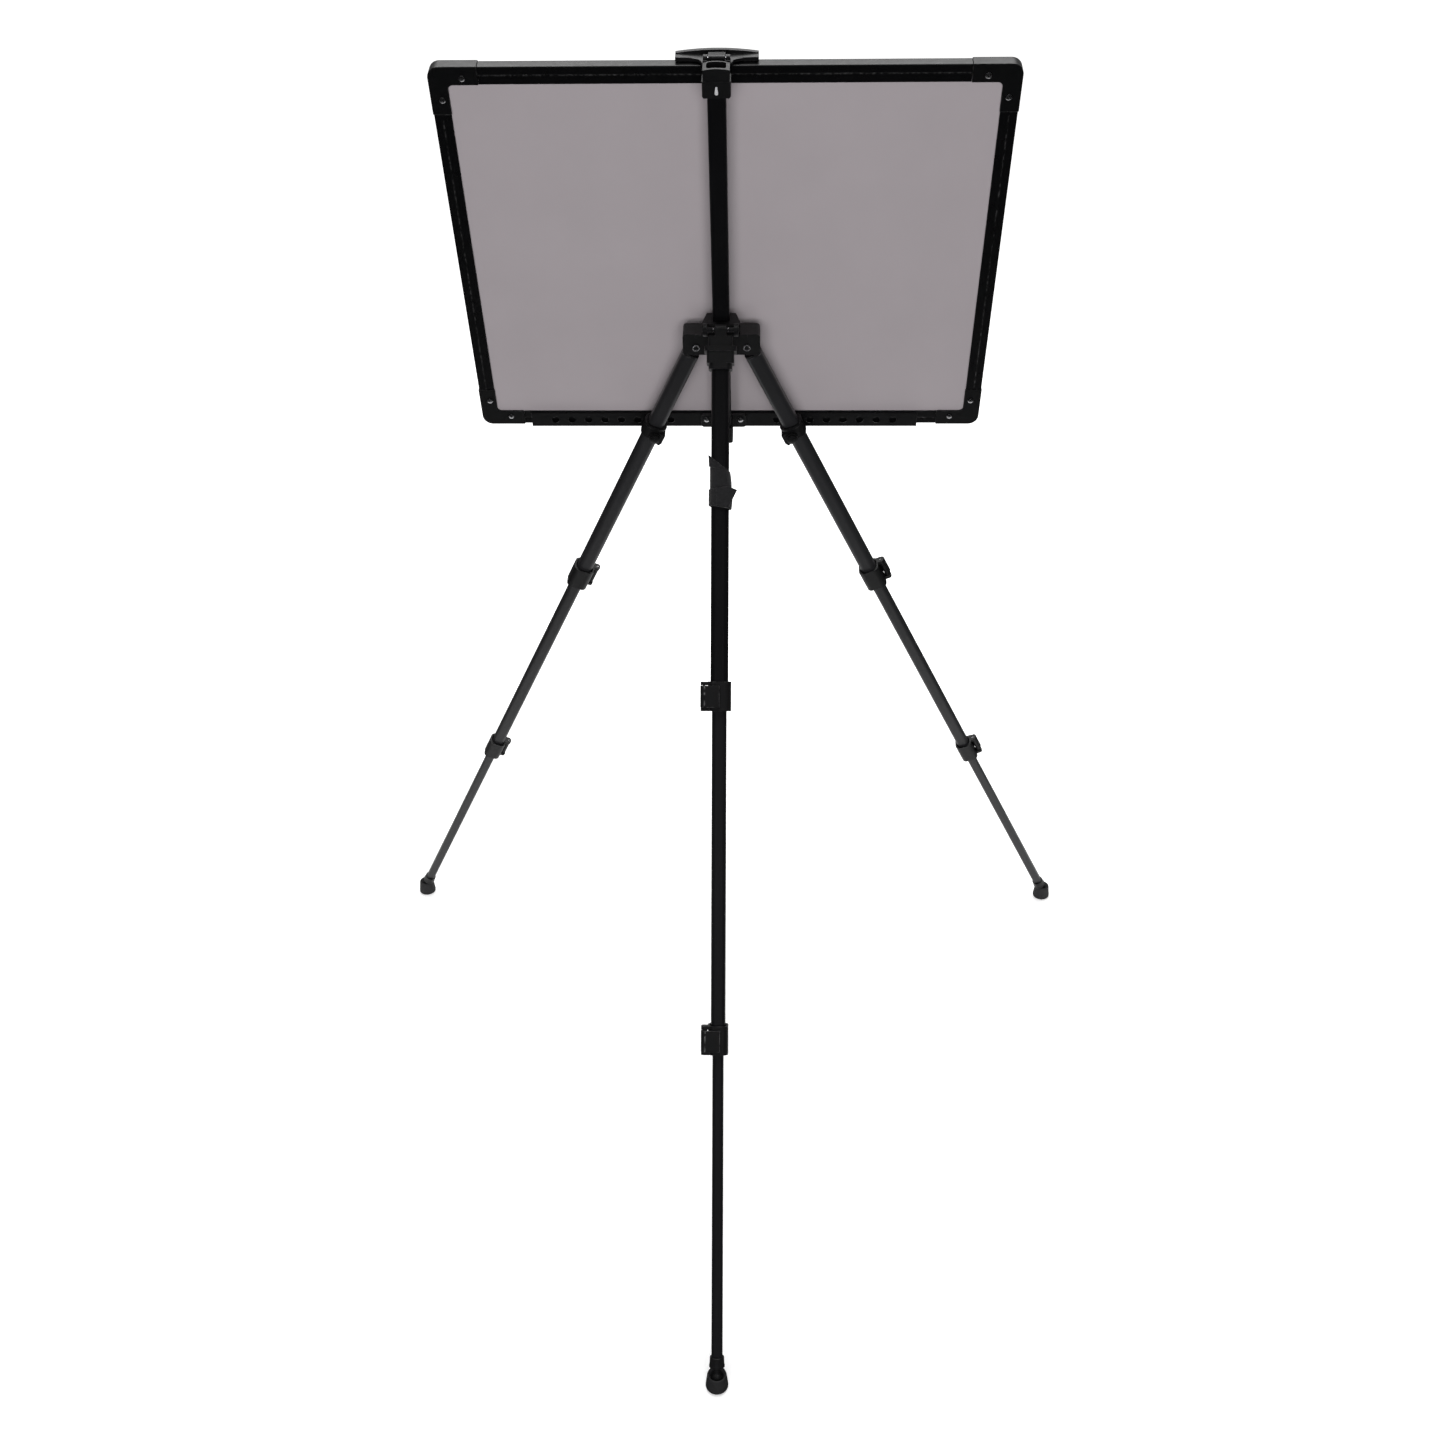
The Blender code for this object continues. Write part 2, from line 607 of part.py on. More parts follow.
def hub(mast_frame):
    """Make the hub block with its boss, ears and slots, and its three pivots."""
    height = HUB_TOP - HUB_BOTTOM
    middle = (HUB_TOP + HUB_BOTTOM) / 2
    outline = rounded_rectangle(2 * HUB_HALF_WIDTH, height, HUB_CORNER, 3, (0.0, middle))
    block = prism("hub_block", [outline], HUB_FRONT, HUB_BACK, BLACK_PLASTIC, "Y")
    chamfer = 0.0050
    boss_front = HUB_FRONT - 0.0004
    boss = [
        (-BOSS_BACK_HALF, HUB_BACK - 0.0002),
        (-BOSS_BACK_HALF, HUB_BACK - chamfer),
        (-BOSS_FRONT_HALF, boss_front),
        (BOSS_FRONT_HALF, boss_front),
        (BOSS_BACK_HALF, HUB_BACK - chamfer),
        (BOSS_BACK_HALF, HUB_BACK - 0.0002),
    ]
    join(block, prism("hub_boss", [boss], HUB_BOTTOM + 0.002, BOSS_TOP, BLACK_PLASTIC))
    ear_middle = REAR_EAR_INNER + REAR_EAR_THICK / 2
    for side in (-1, 1):
        ear = arc((REAR_PIVOT_Y, REAR_PIVOT_Z), REAR_EAR_RADIUS, -60, 120, 8)
        ear += [(HUB_BACK - 0.0040, BOSS_TOP - 0.0010), (HUB_BACK - 0.0040, HUB_TOP - 0.0060)]
        low = side * ear_middle - REAR_EAR_THICK / 2
        join(block, prism(f"hub_ear_{side + 1}", [ear], low, low + REAR_EAR_THICK, BLACK_PLASTIC, "X"))
    bore = rounded_rectangle(MAST_WIDTH + 2 * GAP, MAST_DEPTH + 2 * GAP, MAST_CORNER + GAP, 3)
    cut(block, prism("hub_mast_bore", [bore], HUB_BOTTOM - 0.01, BOSS_TOP + 0.01, BLACK_PLASTIC))
    slot_half = SIDE_EYE_THICK / 2 + 0.0005
    for side in (-1, 1):
        inner = side * (SIDE_PIVOT_X - SIDE_EYE_RADIUS - 0.0006)
        outer = side * (SIDE_PIVOT_X + SIDE_TANG_HALF / math.cos(SIDE_SPREAD) + 0.0056)
        low = (min(inner, outer), -slot_half, HUB_BOTTOM - 0.01)
        high = (max(inner, outer), slot_half, SIDE_EYE_RADIUS + 0.0007)
        cut(block, box(f"hub_slot_{side + 1}", low, high, BLACK_PLASTIC))
        hole = cylinder(
            f"hub_side_hole_{side + 1}", SIDE_PIN_RADIUS + GAP, -0.03, 0.03, "Y", (side * SIDE_PIVOT_X, 0.0),
            BLACK_PLASTIC, 16,
        )
        cut(block, hole)
    pin_hole = cylinder(
        "hub_rear_hole", REAR_PIN_RADIUS + GAP, -0.04, 0.04, "X", (REAR_PIVOT_Y, REAR_PIVOT_Z), BLACK_PLASTIC, 16
    )
    cut(block, pin_hole)
    place(block, mast_frame)

    for prefix, side in (("right", 1), ("left", -1)):
        centre = (side * SIDE_PIVOT_X, 0.0)
        rivet = cylinder(
            f"{prefix}_leg_rivet", SIDE_PIN_RADIUS, HUB_FRONT - RIVET_FLANGE, HUB_BACK + RIVET_FLANGE, "Y", centre,
            STEEL, 16,
        )
        for end, start in (("back", HUB_BACK + GAP), ("front", HUB_FRONT - GAP - RIVET_FLANGE)):
            flange = cylinder(
                f"{prefix}_rivet_{end}", RIVET_FLANGE_RADIUS, start, start + RIVET_FLANGE, "Y", centre, STEEL, 20
            )
            join(rivet, flange)
        cut(rivet, cylinder(f"{prefix}_rivet_bore", RIVET_BORE_RADIUS, -0.03, 0.03, "Y", centre, STEEL, 12))
        place(rivet, mast_frame)

    reach = REAR_EAR_INNER + REAR_EAR_THICK + 0.0008
    pin = cylinder(
        "rear_hinge_pin", REAR_PIN_RADIUS, -reach, reach, "X", (REAR_PIVOT_Y, REAR_PIVOT_Z), STEEL, 16
    )
    place(pin, mast_frame)


def mast(mast_frame):
    """Make the mast tube."""
    outer = rounded_rectangle(MAST_WIDTH, MAST_DEPTH, MAST_CORNER, 3)
    inner = rounded_rectangle(MAST_WIDTH - 0.0024, MAST_DEPTH - 0.0024, MAST_CORNER - 0.0012, 3)
    place(prism("mast", [outer, inner], MAST_BOTTOM, MAST_TOP, BLACK_TUBE), mast_frame)


def ledge(mast_frame):
    """Make the perforated ledge, the mast's foot bracket and the two screws that join them."""
    shelf_top = BOARD_BOTTOM - GAP
    shelf_low = shelf_top - LEDGE_SHEET
    flange_top = shelf_low + LEDGE_FLANGE_HEIGHT
    flange_front = LEDGE_FLANGE_BACK - LEDGE_SHEET
    lip_front = BOARD_BACK - BOARD_THICK - LEDGE_REACH
    profile = [
        (LEDGE_FLANGE_BACK, shelf_low),
        (LEDGE_FLANGE_BACK, flange_top),
        (flange_front, flange_top),
        (flange_front, shelf_top),
        (lip_front + LEDGE_SHEET, shelf_top),
        (lip_front + LEDGE_SHEET, shelf_top + LEDGE_LIP),
        (lip_front, shelf_top + LEDGE_LIP),
        (lip_front, shelf_low),
    ]
    half = LEDGE_LENGTH / 2
    tray = prism("ledge", [profile], -half, half, BLACK_SHEET, "X")
    hole_z = shelf_low + HOLE_HEIGHT
    for side in (-1, 1):
        for index in range(HOLE_COUNT):
            middle = (side * (HOLE_FIRST + index * HOLE_PITCH), hole_z)
            name = f"ledge_hole_{side + 1}_{index}"
            ends = (flange_front - 0.001, LEDGE_FLANGE_BACK + 0.001)
            cut(tray, cylinder(name, HOLE_RADIUS, *ends, "Y", middle, BLACK_SHEET, 12))
        screw_hole = cylinder(
            f"ledge_screw_hole_{side + 1}", SCREW_SHANK_RADIUS + GAP, flange_front - 0.001,
            LEDGE_FLANGE_BACK + 0.001, "Y", (side * LEDGE_SCREW_X, hole_z + 0.0035), BLACK_SHEET, 12,
        )
        cut(tray, screw_hole)
    place(tray, mast_frame)

    plate_front = LEDGE_FLANGE_BACK + GAP
    plate_back = plate_front + BRACKET_PLATE
    plate = rounded_rectangle(2 * BRACKET_HALF, 0.0205, 0.0035, 3, (0.0, shelf_low + 0.01025))
    bracket = prism("mast_foot_bracket", [plate], plate_front, plate_back, BLACK_PLASTIC, "Y")
    socket_half = MAST_WIDTH / 2 + GAP + 0.0022
    socket_back = MAST_DEPTH / 2 + GAP + 0.0018
    socket_low = MAST_BOTTOM - GAP - 0.0020
    low = (-socket_half, plate_front + 0.0010, socket_low)
    high = (socket_half, socket_back, shelf_low + 0.0175)
    join(bracket, box("bracket_socket", low, high, BLACK_PLASTIC))
    bore = rounded_rectangle(MAST_WIDTH + 2 * GAP, MAST_DEPTH + 2 * GAP, MAST_CORNER + GAP, 3)
    cut(bracket, prism("bracket_bore", [bore], MAST_BOTTOM - GAP, 0.0, BLACK_PLASTIC))
    for side in (-1, 1):
        centre = (side * LEDGE_SCREW_X, hole_z + 0.0035)
        name = f"bracket_screw_hole_{side + 1}"
        cut(bracket, cylinder(name, SCREW_SHANK_RADIUS + GAP, -0.03, -0.005, "Y", centre, BLACK_PLASTIC, 12))
    place(bracket, mast_frame)
    for prefix, side in (("right", 1), ("left", -1)):
        centre = (side * LEDGE_SCREW_X, hole_z + 0.0035)
        head_low = plate_back + GAP
        head = cylinder(
            f"{prefix}_ledge_screw", SCREW_HEAD_RADIUS, head_low, head_low + SCREW_HEAD, "Y", centre, STEEL, 16
        )
        shank = cylinder(
            f"{prefix}_ledge_shank", SCREW_SHANK_RADIUS, flange_front, head_low + 0.0005, "Y", centre, STEEL, 12
        )
        join(head, shank)
        place(head, mast_frame)


def board(mast_frame):
    """Make the framed board: four rails, four corner caps, a back sheet and a writing face."""
    frame = frame_empty("board_frame", Matrix.Translation((BOARD_SHIFT, BOARD_BACK, BOARD_BOTTOM)), mast_frame)
    half = BOARD_WIDTH / 2
    panel_inset = RAIL_WIDTH - RAIL_SLOT_DEPTH + GAP
    back_out = -SHEET_RECESS
    back_in = back_out - SHEET_THICK
    face_out = -BOARD_THICK + FACE_RECESS
    face_in = face_out + FACE_THICK
    slot_back = back_out + GAP
    slot_front = face_out - GAP
    inner = RAIL_WIDTH
    profile = [
        (RAIL_INSET, -BOARD_THICK + RAIL_INSET),
        (inner, -BOARD_THICK + RAIL_INSET),
        (inner, slot_front),
        (inner - RAIL_SLOT_DEPTH, slot_front),
        (inner - RAIL_SLOT_DEPTH, slot_back),
        (inner, slot_back),
        (inner, -RAIL_INSET),
        (RAIL_INSET, -RAIL_INSET),
    ]
    rail_end = half - CAP_ARM - GAP
    flat = [(y, z) for z, y in profile]
    place(prism("bottom_rail", [flat], -rail_end, rail_end, BLACK_FRAME, "X"), frame)
    top = [(y, BOARD_HEIGHT - z) for y, z in flat]
    place(prism("top_rail", [top], -rail_end, rail_end, BLACK_FRAME, "X"), frame)
    side_low = CAP_ARM + GAP
    side_high = BOARD_HEIGHT - CAP_ARM - GAP
    for name, side in (("right_rail", 1), ("left_rail", -1)):
        outline = [(side * (half - x), y) for x, y in profile]
        place(prism(name, [outline], side_low, side_high, BLACK_FRAME), frame)

    panel_low = (-half + panel_inset, back_in, panel_inset)
    panel_high = (half - panel_inset, back_out, BOARD_HEIGHT - panel_inset)
    place(box("back_panel", panel_low, panel_high, GREY_SHEET), frame)
    face_low = (-half + panel_inset, face_out, panel_inset)
    face_high = (half - panel_inset, face_in, BOARD_HEIGHT - panel_inset)
    place(box("writing_panel", face_low, face_high, WHITE_FACE), frame)

    for prefix, side, edge in (
        ("top_right", 1, BOARD_HEIGHT), ("top_left", -1, BOARD_HEIGHT),
        ("bottom_right", 1, 0.0), ("bottom_left", -1, 0.0),
    ):
        inward = -1 if edge else 1
        outline = [(0.0, CAP_ARM)]
        outline += arc((CAP_RADIUS, CAP_RADIUS), CAP_RADIUS, 180, 270, 5)
        outline += [(CAP_ARM, 0.0), (CAP_ARM, RAIL_WIDTH + 0.0006)]
        outline += [(RAIL_WIDTH + 0.0036, RAIL_WIDTH + 0.0006), (RAIL_WIDTH + 0.0006, RAIL_WIDTH + 0.0036)]
        outline += [(RAIL_WIDTH + 0.0006, CAP_ARM)]
        outline = [(side * (half - x), edge + inward * z) for x, z in outline]
        cap = prism(f"{prefix}_cap", [outline], -BOARD_THICK, 0.0, BLACK_PLASTIC, "Y")
        low_x = 0.0 if side > 0 else -half + panel_inset - GAP
        high_x = half - panel_inset + GAP if side > 0 else 0.0
        low_z = BOARD_HEIGHT / 2 if edge else panel_inset - GAP
        high_z = BOARD_HEIGHT - panel_inset + GAP if edge else BOARD_HEIGHT / 2
        slot = box(f"{prefix}_cap_slot", (low_x, slot_front, low_z), (high_x, slot_back, high_z), BLACK_PLASTIC)
        cut(cap, slot)
        place(cap, frame)


def top_clamp(mast_frame):
    """Make the clamp on the mast's head: sleeve, hinged jaw, hinge pin and lock screw."""
    outline = rounded_rectangle(
        2 * SLEEVE_HALF, SLEEVE_BACK - SLEEVE_FRONT, 0.0022, 2, (0.0, (SLEEVE_BACK + SLEEVE_FRONT) / 2)
    )
    sleeve = prism("clamp_sleeve", [outline], SLEEVE_BOTTOM, SLEEVE_TOP, BLACK_PLASTIC)
    board_top = BOARD_BOTTOM + BOARD_HEIGHT
    stem_low = board_top + GAP + 0.0002
    stem = [
        (SLEEVE_FRONT + 0.0010, SLEEVE_TOP - 0.0300),
        (SLEEVE_FRONT + 0.0010, SLEEVE_TOP),
        (JAW_HINGE_Y + 0.0050, JAW_HINGE_Z + 0.0005),
        (JAW_HINGE_Y + 0.0050, stem_low),
        (BOARD_BACK + 0.0010, stem_low),
        (BOARD_BACK + 0.0010, SLEEVE_BOTTOM + 0.0080),
    ]
    join(sleeve, prism("clamp_stem", [stem], -STEM_HALF, STEM_HALF, BLACK_PLASTIC, "X"))
    for side in (-1, 1):
        low = side * (STEM_HALF - 0.0022) - 0.0022
        post = arc((JAW_HINGE_Y, JAW_HINGE_Z), 0.0038, 0, 180, 6)
        post += [(JAW_HINGE_Y - 0.0038, stem_low), (JAW_HINGE_Y + 0.0080, stem_low)]
        post += [(JAW_HINGE_Y + 0.0080, JAW_HINGE_Z)]
        join(sleeve, prism(f"clamp_post_{side + 1}", [post], low, low + 0.0044, BLACK_PLASTIC, "X"))
    bore = rounded_rectangle(MAST_WIDTH + 2 * SLIDE_GAP, MAST_DEPTH + 2 * SLIDE_GAP, MAST_CORNER + SLIDE_GAP, 3)
    cut(sleeve, prism("clamp_bore", [bore], SLEEVE_BOTTOM - 0.01, SLEEVE_TOP + 0.01, BLACK_PLASTIC))
    pin_centre = (JAW_HINGE_Y, JAW_HINGE_Z)
    cut(sleeve, cylinder("clamp_pin_hole", JAW_PIN_RADIUS + GAP, -0.05, 0.05, "X", pin_centre, BLACK_PLASTIC, 12))
    screw_z = SLEEVE_BOTTOM + 0.0072
    hole_low = MAST_DEPTH / 2
    hole_high = SLEEVE_BACK + 0.005
    cut(sleeve, cylinder("clamp_screw_hole", 0.0018, hole_low, hole_high, "Y", (0.0, screw_z), BLACK_PLASTIC, 12))
    place(sleeve, mast_frame)
    pin = cylinder("clamp_hinge_pin", JAW_PIN_RADIUS, -STEM_HALF, STEM_HALF, "X", pin_centre, STEEL, 12)
    place(pin, mast_frame)
    screw = cylinder(
        "clamp_screw", 0.0015, MAST_DEPTH / 2 + 2 * GAP, SLEEVE_BACK + 0.0006, "Y", (0.0, screw_z), STEEL, 12
    )
    place(screw, mast_frame)

    jaw_low = board_top + GAP + 0.0002
    wing = []
    for step in range(9):
        along = -1 + 2 * step / 8
        wing.append((JAW_HALF * along, JAW_HINGE_Z + 0.0020 - 0.0032 * along * along))
    wing += [(JAW_HALF, jaw_low), (-JAW_HALF, jaw_low)]
    jaw = prism("clamp_jaw", [wing], JAW_FRONT, JAW_BACK, BLACK_PLASTIC, "Y")
    lip_back = BOARD_BACK - BOARD_THICK - GAP - 0.0002
    lip_middle = jaw_low + 0.0020 - (JAW_DROP + 0.0020) / 2
    lip = rounded_rectangle(2 * JAW_HALF, JAW_DROP + 0.0020, 0.0030, 2, (0.0, lip_middle))
    join(jaw, prism("jaw_lip", [lip], JAW_FRONT, lip_back, BLACK_PLASTIC, "Y"))
    knuckle_half = STEM_HALF - 0.0044 - 0.0005
    knuckle = arc((JAW_HINGE_Y, JAW_HINGE_Z), 0.0034, -90, 90, 6)
    knuckle += [(JAW_BACK - 0.0030, JAW_HINGE_Z + 0.0018), (JAW_BACK - 0.0030, JAW_HINGE_Z - 0.0034)]
    join(jaw, prism("jaw_knuckle", [knuckle], -knuckle_half, knuckle_half, BLACK_PLASTIC, "X"))
    cut(jaw, cylinder("jaw_pin_hole", JAW_PIN_RADIUS + GAP, -0.02, 0.02, "X", pin_centre, BLACK_PLASTIC, 12))
    place(jaw, mast_frame)


def main():
    """Build the easel."""
    lean = Matrix.Translation((0.0, HUB_Y, HUB_HEIGHT)) @ Matrix.Rotation(-MAST_LEAN, 4, "X")
    mast_frame = frame_empty("mast_frame", lean)
    hub(mast_frame)
    mast(mast_frame)
    ledge(mast_frame)
    board(mast_frame)
    top_clamp(mast_frame)
    side_leg("right", 1, mast_frame)
    side_leg("left", -1, mast_frame)
    rear_leg(mast_frame)


main()
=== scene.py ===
"""Studio picture of a tripod field easel with a framed writing board, seen from behind and above.

Every sub-assembly is a class. It draws its visible pieces in its own frame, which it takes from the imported
part's joints, gives them a procedural finish and hangs them on the part's bodies. Metres throughout.
"""

import functools
import json
import logging
import math
from collections.abc import Iterable, Sequence
from dataclasses import dataclass, replace
from enum import Enum
from typing import Any

import bmesh
import bpy
from mathutils import Euler, Matrix, Vector

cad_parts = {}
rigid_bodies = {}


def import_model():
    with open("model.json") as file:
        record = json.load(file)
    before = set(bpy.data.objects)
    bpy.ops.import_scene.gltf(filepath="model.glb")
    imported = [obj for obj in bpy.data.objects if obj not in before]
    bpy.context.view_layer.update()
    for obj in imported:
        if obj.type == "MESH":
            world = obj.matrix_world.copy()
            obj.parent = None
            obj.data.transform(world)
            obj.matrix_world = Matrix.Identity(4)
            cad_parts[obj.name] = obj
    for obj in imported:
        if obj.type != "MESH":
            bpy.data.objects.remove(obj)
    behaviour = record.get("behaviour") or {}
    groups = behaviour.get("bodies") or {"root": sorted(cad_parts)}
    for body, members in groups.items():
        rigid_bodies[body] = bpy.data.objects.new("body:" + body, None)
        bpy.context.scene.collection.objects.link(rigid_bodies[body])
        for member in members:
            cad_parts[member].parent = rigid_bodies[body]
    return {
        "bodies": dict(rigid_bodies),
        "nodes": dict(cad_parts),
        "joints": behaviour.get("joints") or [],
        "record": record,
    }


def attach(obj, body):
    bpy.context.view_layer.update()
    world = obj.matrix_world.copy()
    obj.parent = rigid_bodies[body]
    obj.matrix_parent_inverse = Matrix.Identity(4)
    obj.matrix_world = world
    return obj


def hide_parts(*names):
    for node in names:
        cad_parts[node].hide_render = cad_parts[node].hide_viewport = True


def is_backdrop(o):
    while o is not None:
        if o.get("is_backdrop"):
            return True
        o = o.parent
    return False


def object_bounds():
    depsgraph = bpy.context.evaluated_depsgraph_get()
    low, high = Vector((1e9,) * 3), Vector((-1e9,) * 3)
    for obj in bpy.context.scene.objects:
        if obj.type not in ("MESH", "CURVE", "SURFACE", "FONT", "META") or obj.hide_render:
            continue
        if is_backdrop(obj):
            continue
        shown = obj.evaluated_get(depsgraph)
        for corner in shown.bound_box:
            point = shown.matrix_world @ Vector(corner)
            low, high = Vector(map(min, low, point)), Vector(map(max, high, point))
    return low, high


LOG = logging.getLogger("easel")

Pair = tuple[float, float]
Outline = list[Pair]
Colour = tuple[float, float, float]


class Slot(Enum):
    """The record's material slots."""

    TUBE = "black_tube"
    PLASTIC = "black_plastic"
    FRAME = "black_frame"
    SHEET = "black_sheet"
    GREY = "grey_sheet"
    FACE = "white_face"
    STEEL = "steel"
    RUBBER = "rubber"
    WEBBING = "webbing"


class ShaderTree:
    """A Principled material under construction."""

    def __init__(self, name: str) -> None:
        """Start the material.

        Args:
            name: The material's name.
        """
        self.material = bpy.data.materials.new(name)
        self.material.use_nodes = True
        self.nodes = self.material.node_tree.nodes
        self.links = self.material.node_tree.links
        self.shader = self.nodes["Principled BSDF"]

    def add(self, kind: str, settings: dict[str, Any] | None = None, **sockets: Any) -> bpy.types.Node:
        """Add a node.

        Args:
            kind: The node's type name.
            settings: Properties of the node itself.
            **sockets: Input values or sockets to link, with _ for a blank in a socket's name.

        Returns:
            The new node.
        """
        node = self.nodes.new(kind)
        for name, value in (settings or {}).items():
            setattr(node, name, value)
        for name, value in sockets.items():
            self.feed(node.inputs[name.replace("_", " ")], value)
        return node

    def feed(self, socket: bpy.types.NodeSocket, value: Any) -> None:
        """Link a socket to an input, or give the input a value."""
        if isinstance(value, bpy.types.NodeSocket):
            self.links.new(value, socket)
        else:
            socket.default_value = value

    def noise(self, size: float, detail: float = 2.0,
              stretch: Colour = (1.0, 1.0, 1.0)) -> bpy.types.NodeSocket:
        """Add noise whose features have a real size.

        Args:
            size: The features' size.
            detail: The noise's octaves.
            stretch: How many times longer the features are along each axis of the piece.

        Returns:
            The noise's factor.
        """
        place = self.add("ShaderNodeAttribute", {"attribute_name": "place"}).outputs["Vector"]
        scale = tuple(1.0 / (size * factor) for factor in stretch)
        scaled = self.add("ShaderNodeMapping", Vector=place, Scale=scale).outputs["Vector"]
        return self.add("ShaderNodeTexNoise", Vector=scaled, Scale=1.0, Detail=detail).outputs["Fac"]

    def spread(self, value: bpy.types.NodeSocket, low: float, high: float, start: float = 0.3,
               end: float = 0.7) -> bpy.types.NodeSocket:
        """Map a factor onto a range.

        Args:
            value: The factor.
            low: The result at start.
            high: The result at end.
            start: The factor that gives low.
            end: The factor that gives high.

        Returns:
            The mapped value.
        """
        ends = {"From_Min": start, "From_Max": end, "To_Min": low, "To_Max": high}
        node = self.add("ShaderNodeMapRange", None, Value=value, **ends)
        return node.outputs["Result"]

    def maths(self, operation: str, first: Any, second: Any) -> bpy.types.NodeSocket:
        """Combine two values."""
        node = self.add("ShaderNodeMath", {"operation": operation})
        self.feed(node.inputs[0], first)
        self.feed(node.inputs[1], second)
        return node.outputs[0]

    def blend(self, factor: Any, first: Any, second: Any) -> bpy.types.NodeSocket:
        """Mix two colours."""
        node = self.add("ShaderNodeMix", {"data_type": "RGBA"})
        self.feed(node.inputs[0], factor)
        self.feed(node.inputs[6], first)
        self.feed(node.inputs[7], second)
        return node.outputs[2]


def shade(colour: Colour, factor: float) -> tuple[float, float, float, float]:
    """Return a colour made lighter or darker."""
    red, green, blue = (min(1.0, channel * factor) for channel in colour)
    return (red, green, blue, 1.0)


@dataclass(frozen=True)
class Finish:
    """A procedural finish with grain, slow changes of tone and gloss, and lighter rounded edges that are
    partly rubbed wear and partly a painted edge highlight.
    """

    name: str
    slot: Slot
    colour: Colour
    roughness: float
    metallic: float = 0.0
    coat: float = 0.0
    coat_roughness: float = 0.1
    sheen: float = 0.0
    specular: float = 0.5
    grain_size: float = 0.0006
    grain_depth: float = 0.000006
    stretch: Colour = (1.0, 1.0, 1.0)
    mottling: float = 0.2
    mottling_size: float = 0.02
    gloss_change: float = 0.05
    edge_wear_and_highlight: float = 0.5
    wear_and_highlight_colour: Colour = (0.09, 0.09, 0.092)

    def height(self, tree: ShaderTree) -> bpy.types.NodeSocket:
        """Return the raised texture, as a share of the grain's depth."""
        return tree.noise(self.grain_size, 3.0, self.stretch)

    def build(self) -> bpy.types.Material:
        """Make the material."""
        tree = ShaderTree(self.name)
        shader = tree.shader
        tone = tree.noise(self.mottling_size, 4.0, self.stretch)
        base = tree.blend(tone, shade(self.colour, 1 - self.mottling), shade(self.colour, 1 + self.mottling))
        # The lighter edge colour on rounded faces is partly rubbed wear and partly a painted highlight along
        # the edges.
        wear_and_highlight_mask = tree.add("ShaderNodeAttribute", {"attribute_name": "edge_wear_and_highlight"}).outputs["Fac"]
        patches = tree.spread(tree.noise(0.004, 5.0), 0.0, self.edge_wear_and_highlight, 0.45, 0.68)
        wear_and_highlight_mask = tree.maths("MULTIPLY", wear_and_highlight_mask, patches)
        tree.feed(shader.inputs["Base Color"], tree.blend(wear_and_highlight_mask, base, shade(self.wear_and_highlight_colour, 1.0)))
        gloss = tree.noise(self.mottling_size * 0.35, 5.0, self.stretch)
        rough = tree.spread(gloss, self.roughness - self.gloss_change, self.roughness + self.gloss_change)
        tree.feed(shader.inputs["Roughness"], rough)
        raised = self.height(tree)
        bump = tree.add("ShaderNodeBump", None, Height=raised, Distance=self.grain_depth, Strength=1.0)
        tree.feed(shader.inputs["Normal"], bump.outputs["Normal"])
        shader.inputs["Metallic"].default_value = self.metallic
        shader.inputs["Coat Weight"].default_value = self.coat
        shader.inputs["Coat Roughness"].default_value = self.coat_roughness
        shader.inputs["Sheen Weight"].default_value = self.sheen
        shader.inputs["Specular IOR Level"].default_value = self.specular
        return tree.material


@dataclass(frozen=True)
class WovenFinish(Finish):
    """Tape woven from threads, with a nap."""

    thread: float = 0.0006

    def height(self, tree: ShaderTree) -> bpy.types.NodeSocket:
        """Return crossing threads under a rough nap."""
        place = tree.add("ShaderNodeAttribute", {"attribute_name": "place"}).outputs["Vector"]
        waves = []
        for axis in ("X", "Z"):
            settings = {"wave_type": "BANDS", "bands_direction": axis}
            rough = {"Distortion": 1.5, "Detail": 2.0}
            scale = 1.0 / (self.thread * math.tau)
            wave = tree.add("ShaderNodeTexWave", settings, Vector=place, Scale=scale, **rough)
            waves.append(wave.outputs["Fac"])
        weave = tree.maths("MULTIPLY", *waves)
        return tree.maths("ADD", weave, tree.noise(self.grain_size, 4.0))


# Each finish's worn colour lightens its rounded edges: partly rubbed wear, partly a painted edge highlight.
PAINTED_TUBE = Finish(
    "painted_tube", Slot.TUBE, (0.0036, 0.0036, 0.0042), 0.34, specular=0.3, grain_size=0.0011,
    grain_depth=0.000005, stretch=(1.0, 1.0, 9.0), gloss_change=0.07, wear_and_highlight_colour=(0.2, 0.2, 0.205),
    edge_wear_and_highlight=0.55,
)
REAR_TUBE = Finish(
    "rear_tube", Slot.TUBE, (0.0062, 0.0062, 0.0071), 0.38, specular=0.32, grain_size=0.0009,
    grain_depth=0.000004, stretch=(1.0, 1.0, 14.0), mottling=0.3, gloss_change=0.09,
    wear_and_highlight_colour=(0.22, 0.22, 0.225), edge_wear_and_highlight=0.6,
)
# The side tube finish is the same black tube paint made several times lighter: painted light for the floor
# light the side legs catch. LOWER_TUBE is a lighter copy of REAR_TUBE.
LIT_SIDE_TUBE = Finish(
    "side_tube", Slot.TUBE, (0.0175, 0.0175, 0.019), 0.36, specular=0.34, grain_size=0.0011,
    grain_depth=0.000005, stretch=(1.0, 1.0, 9.0), mottling=0.3, gloss_change=0.07,
    wear_and_highlight_colour=(0.22, 0.22, 0.225), edge_wear_and_highlight=0.55,
)
LOWER_TUBE = replace(REAR_TUBE, name="lower_tube", colour=(0.026, 0.026, 0.0275))
MOULDED_PLASTIC = Finish(
    "moulded_plastic", Slot.PLASTIC, (0.0065, 0.0065, 0.0069), 0.44, specular=0.32, grain_size=0.00045,
    grain_depth=0.000012, wear_and_highlight_colour=(0.15, 0.15, 0.153), edge_wear_and_highlight=0.85,
)
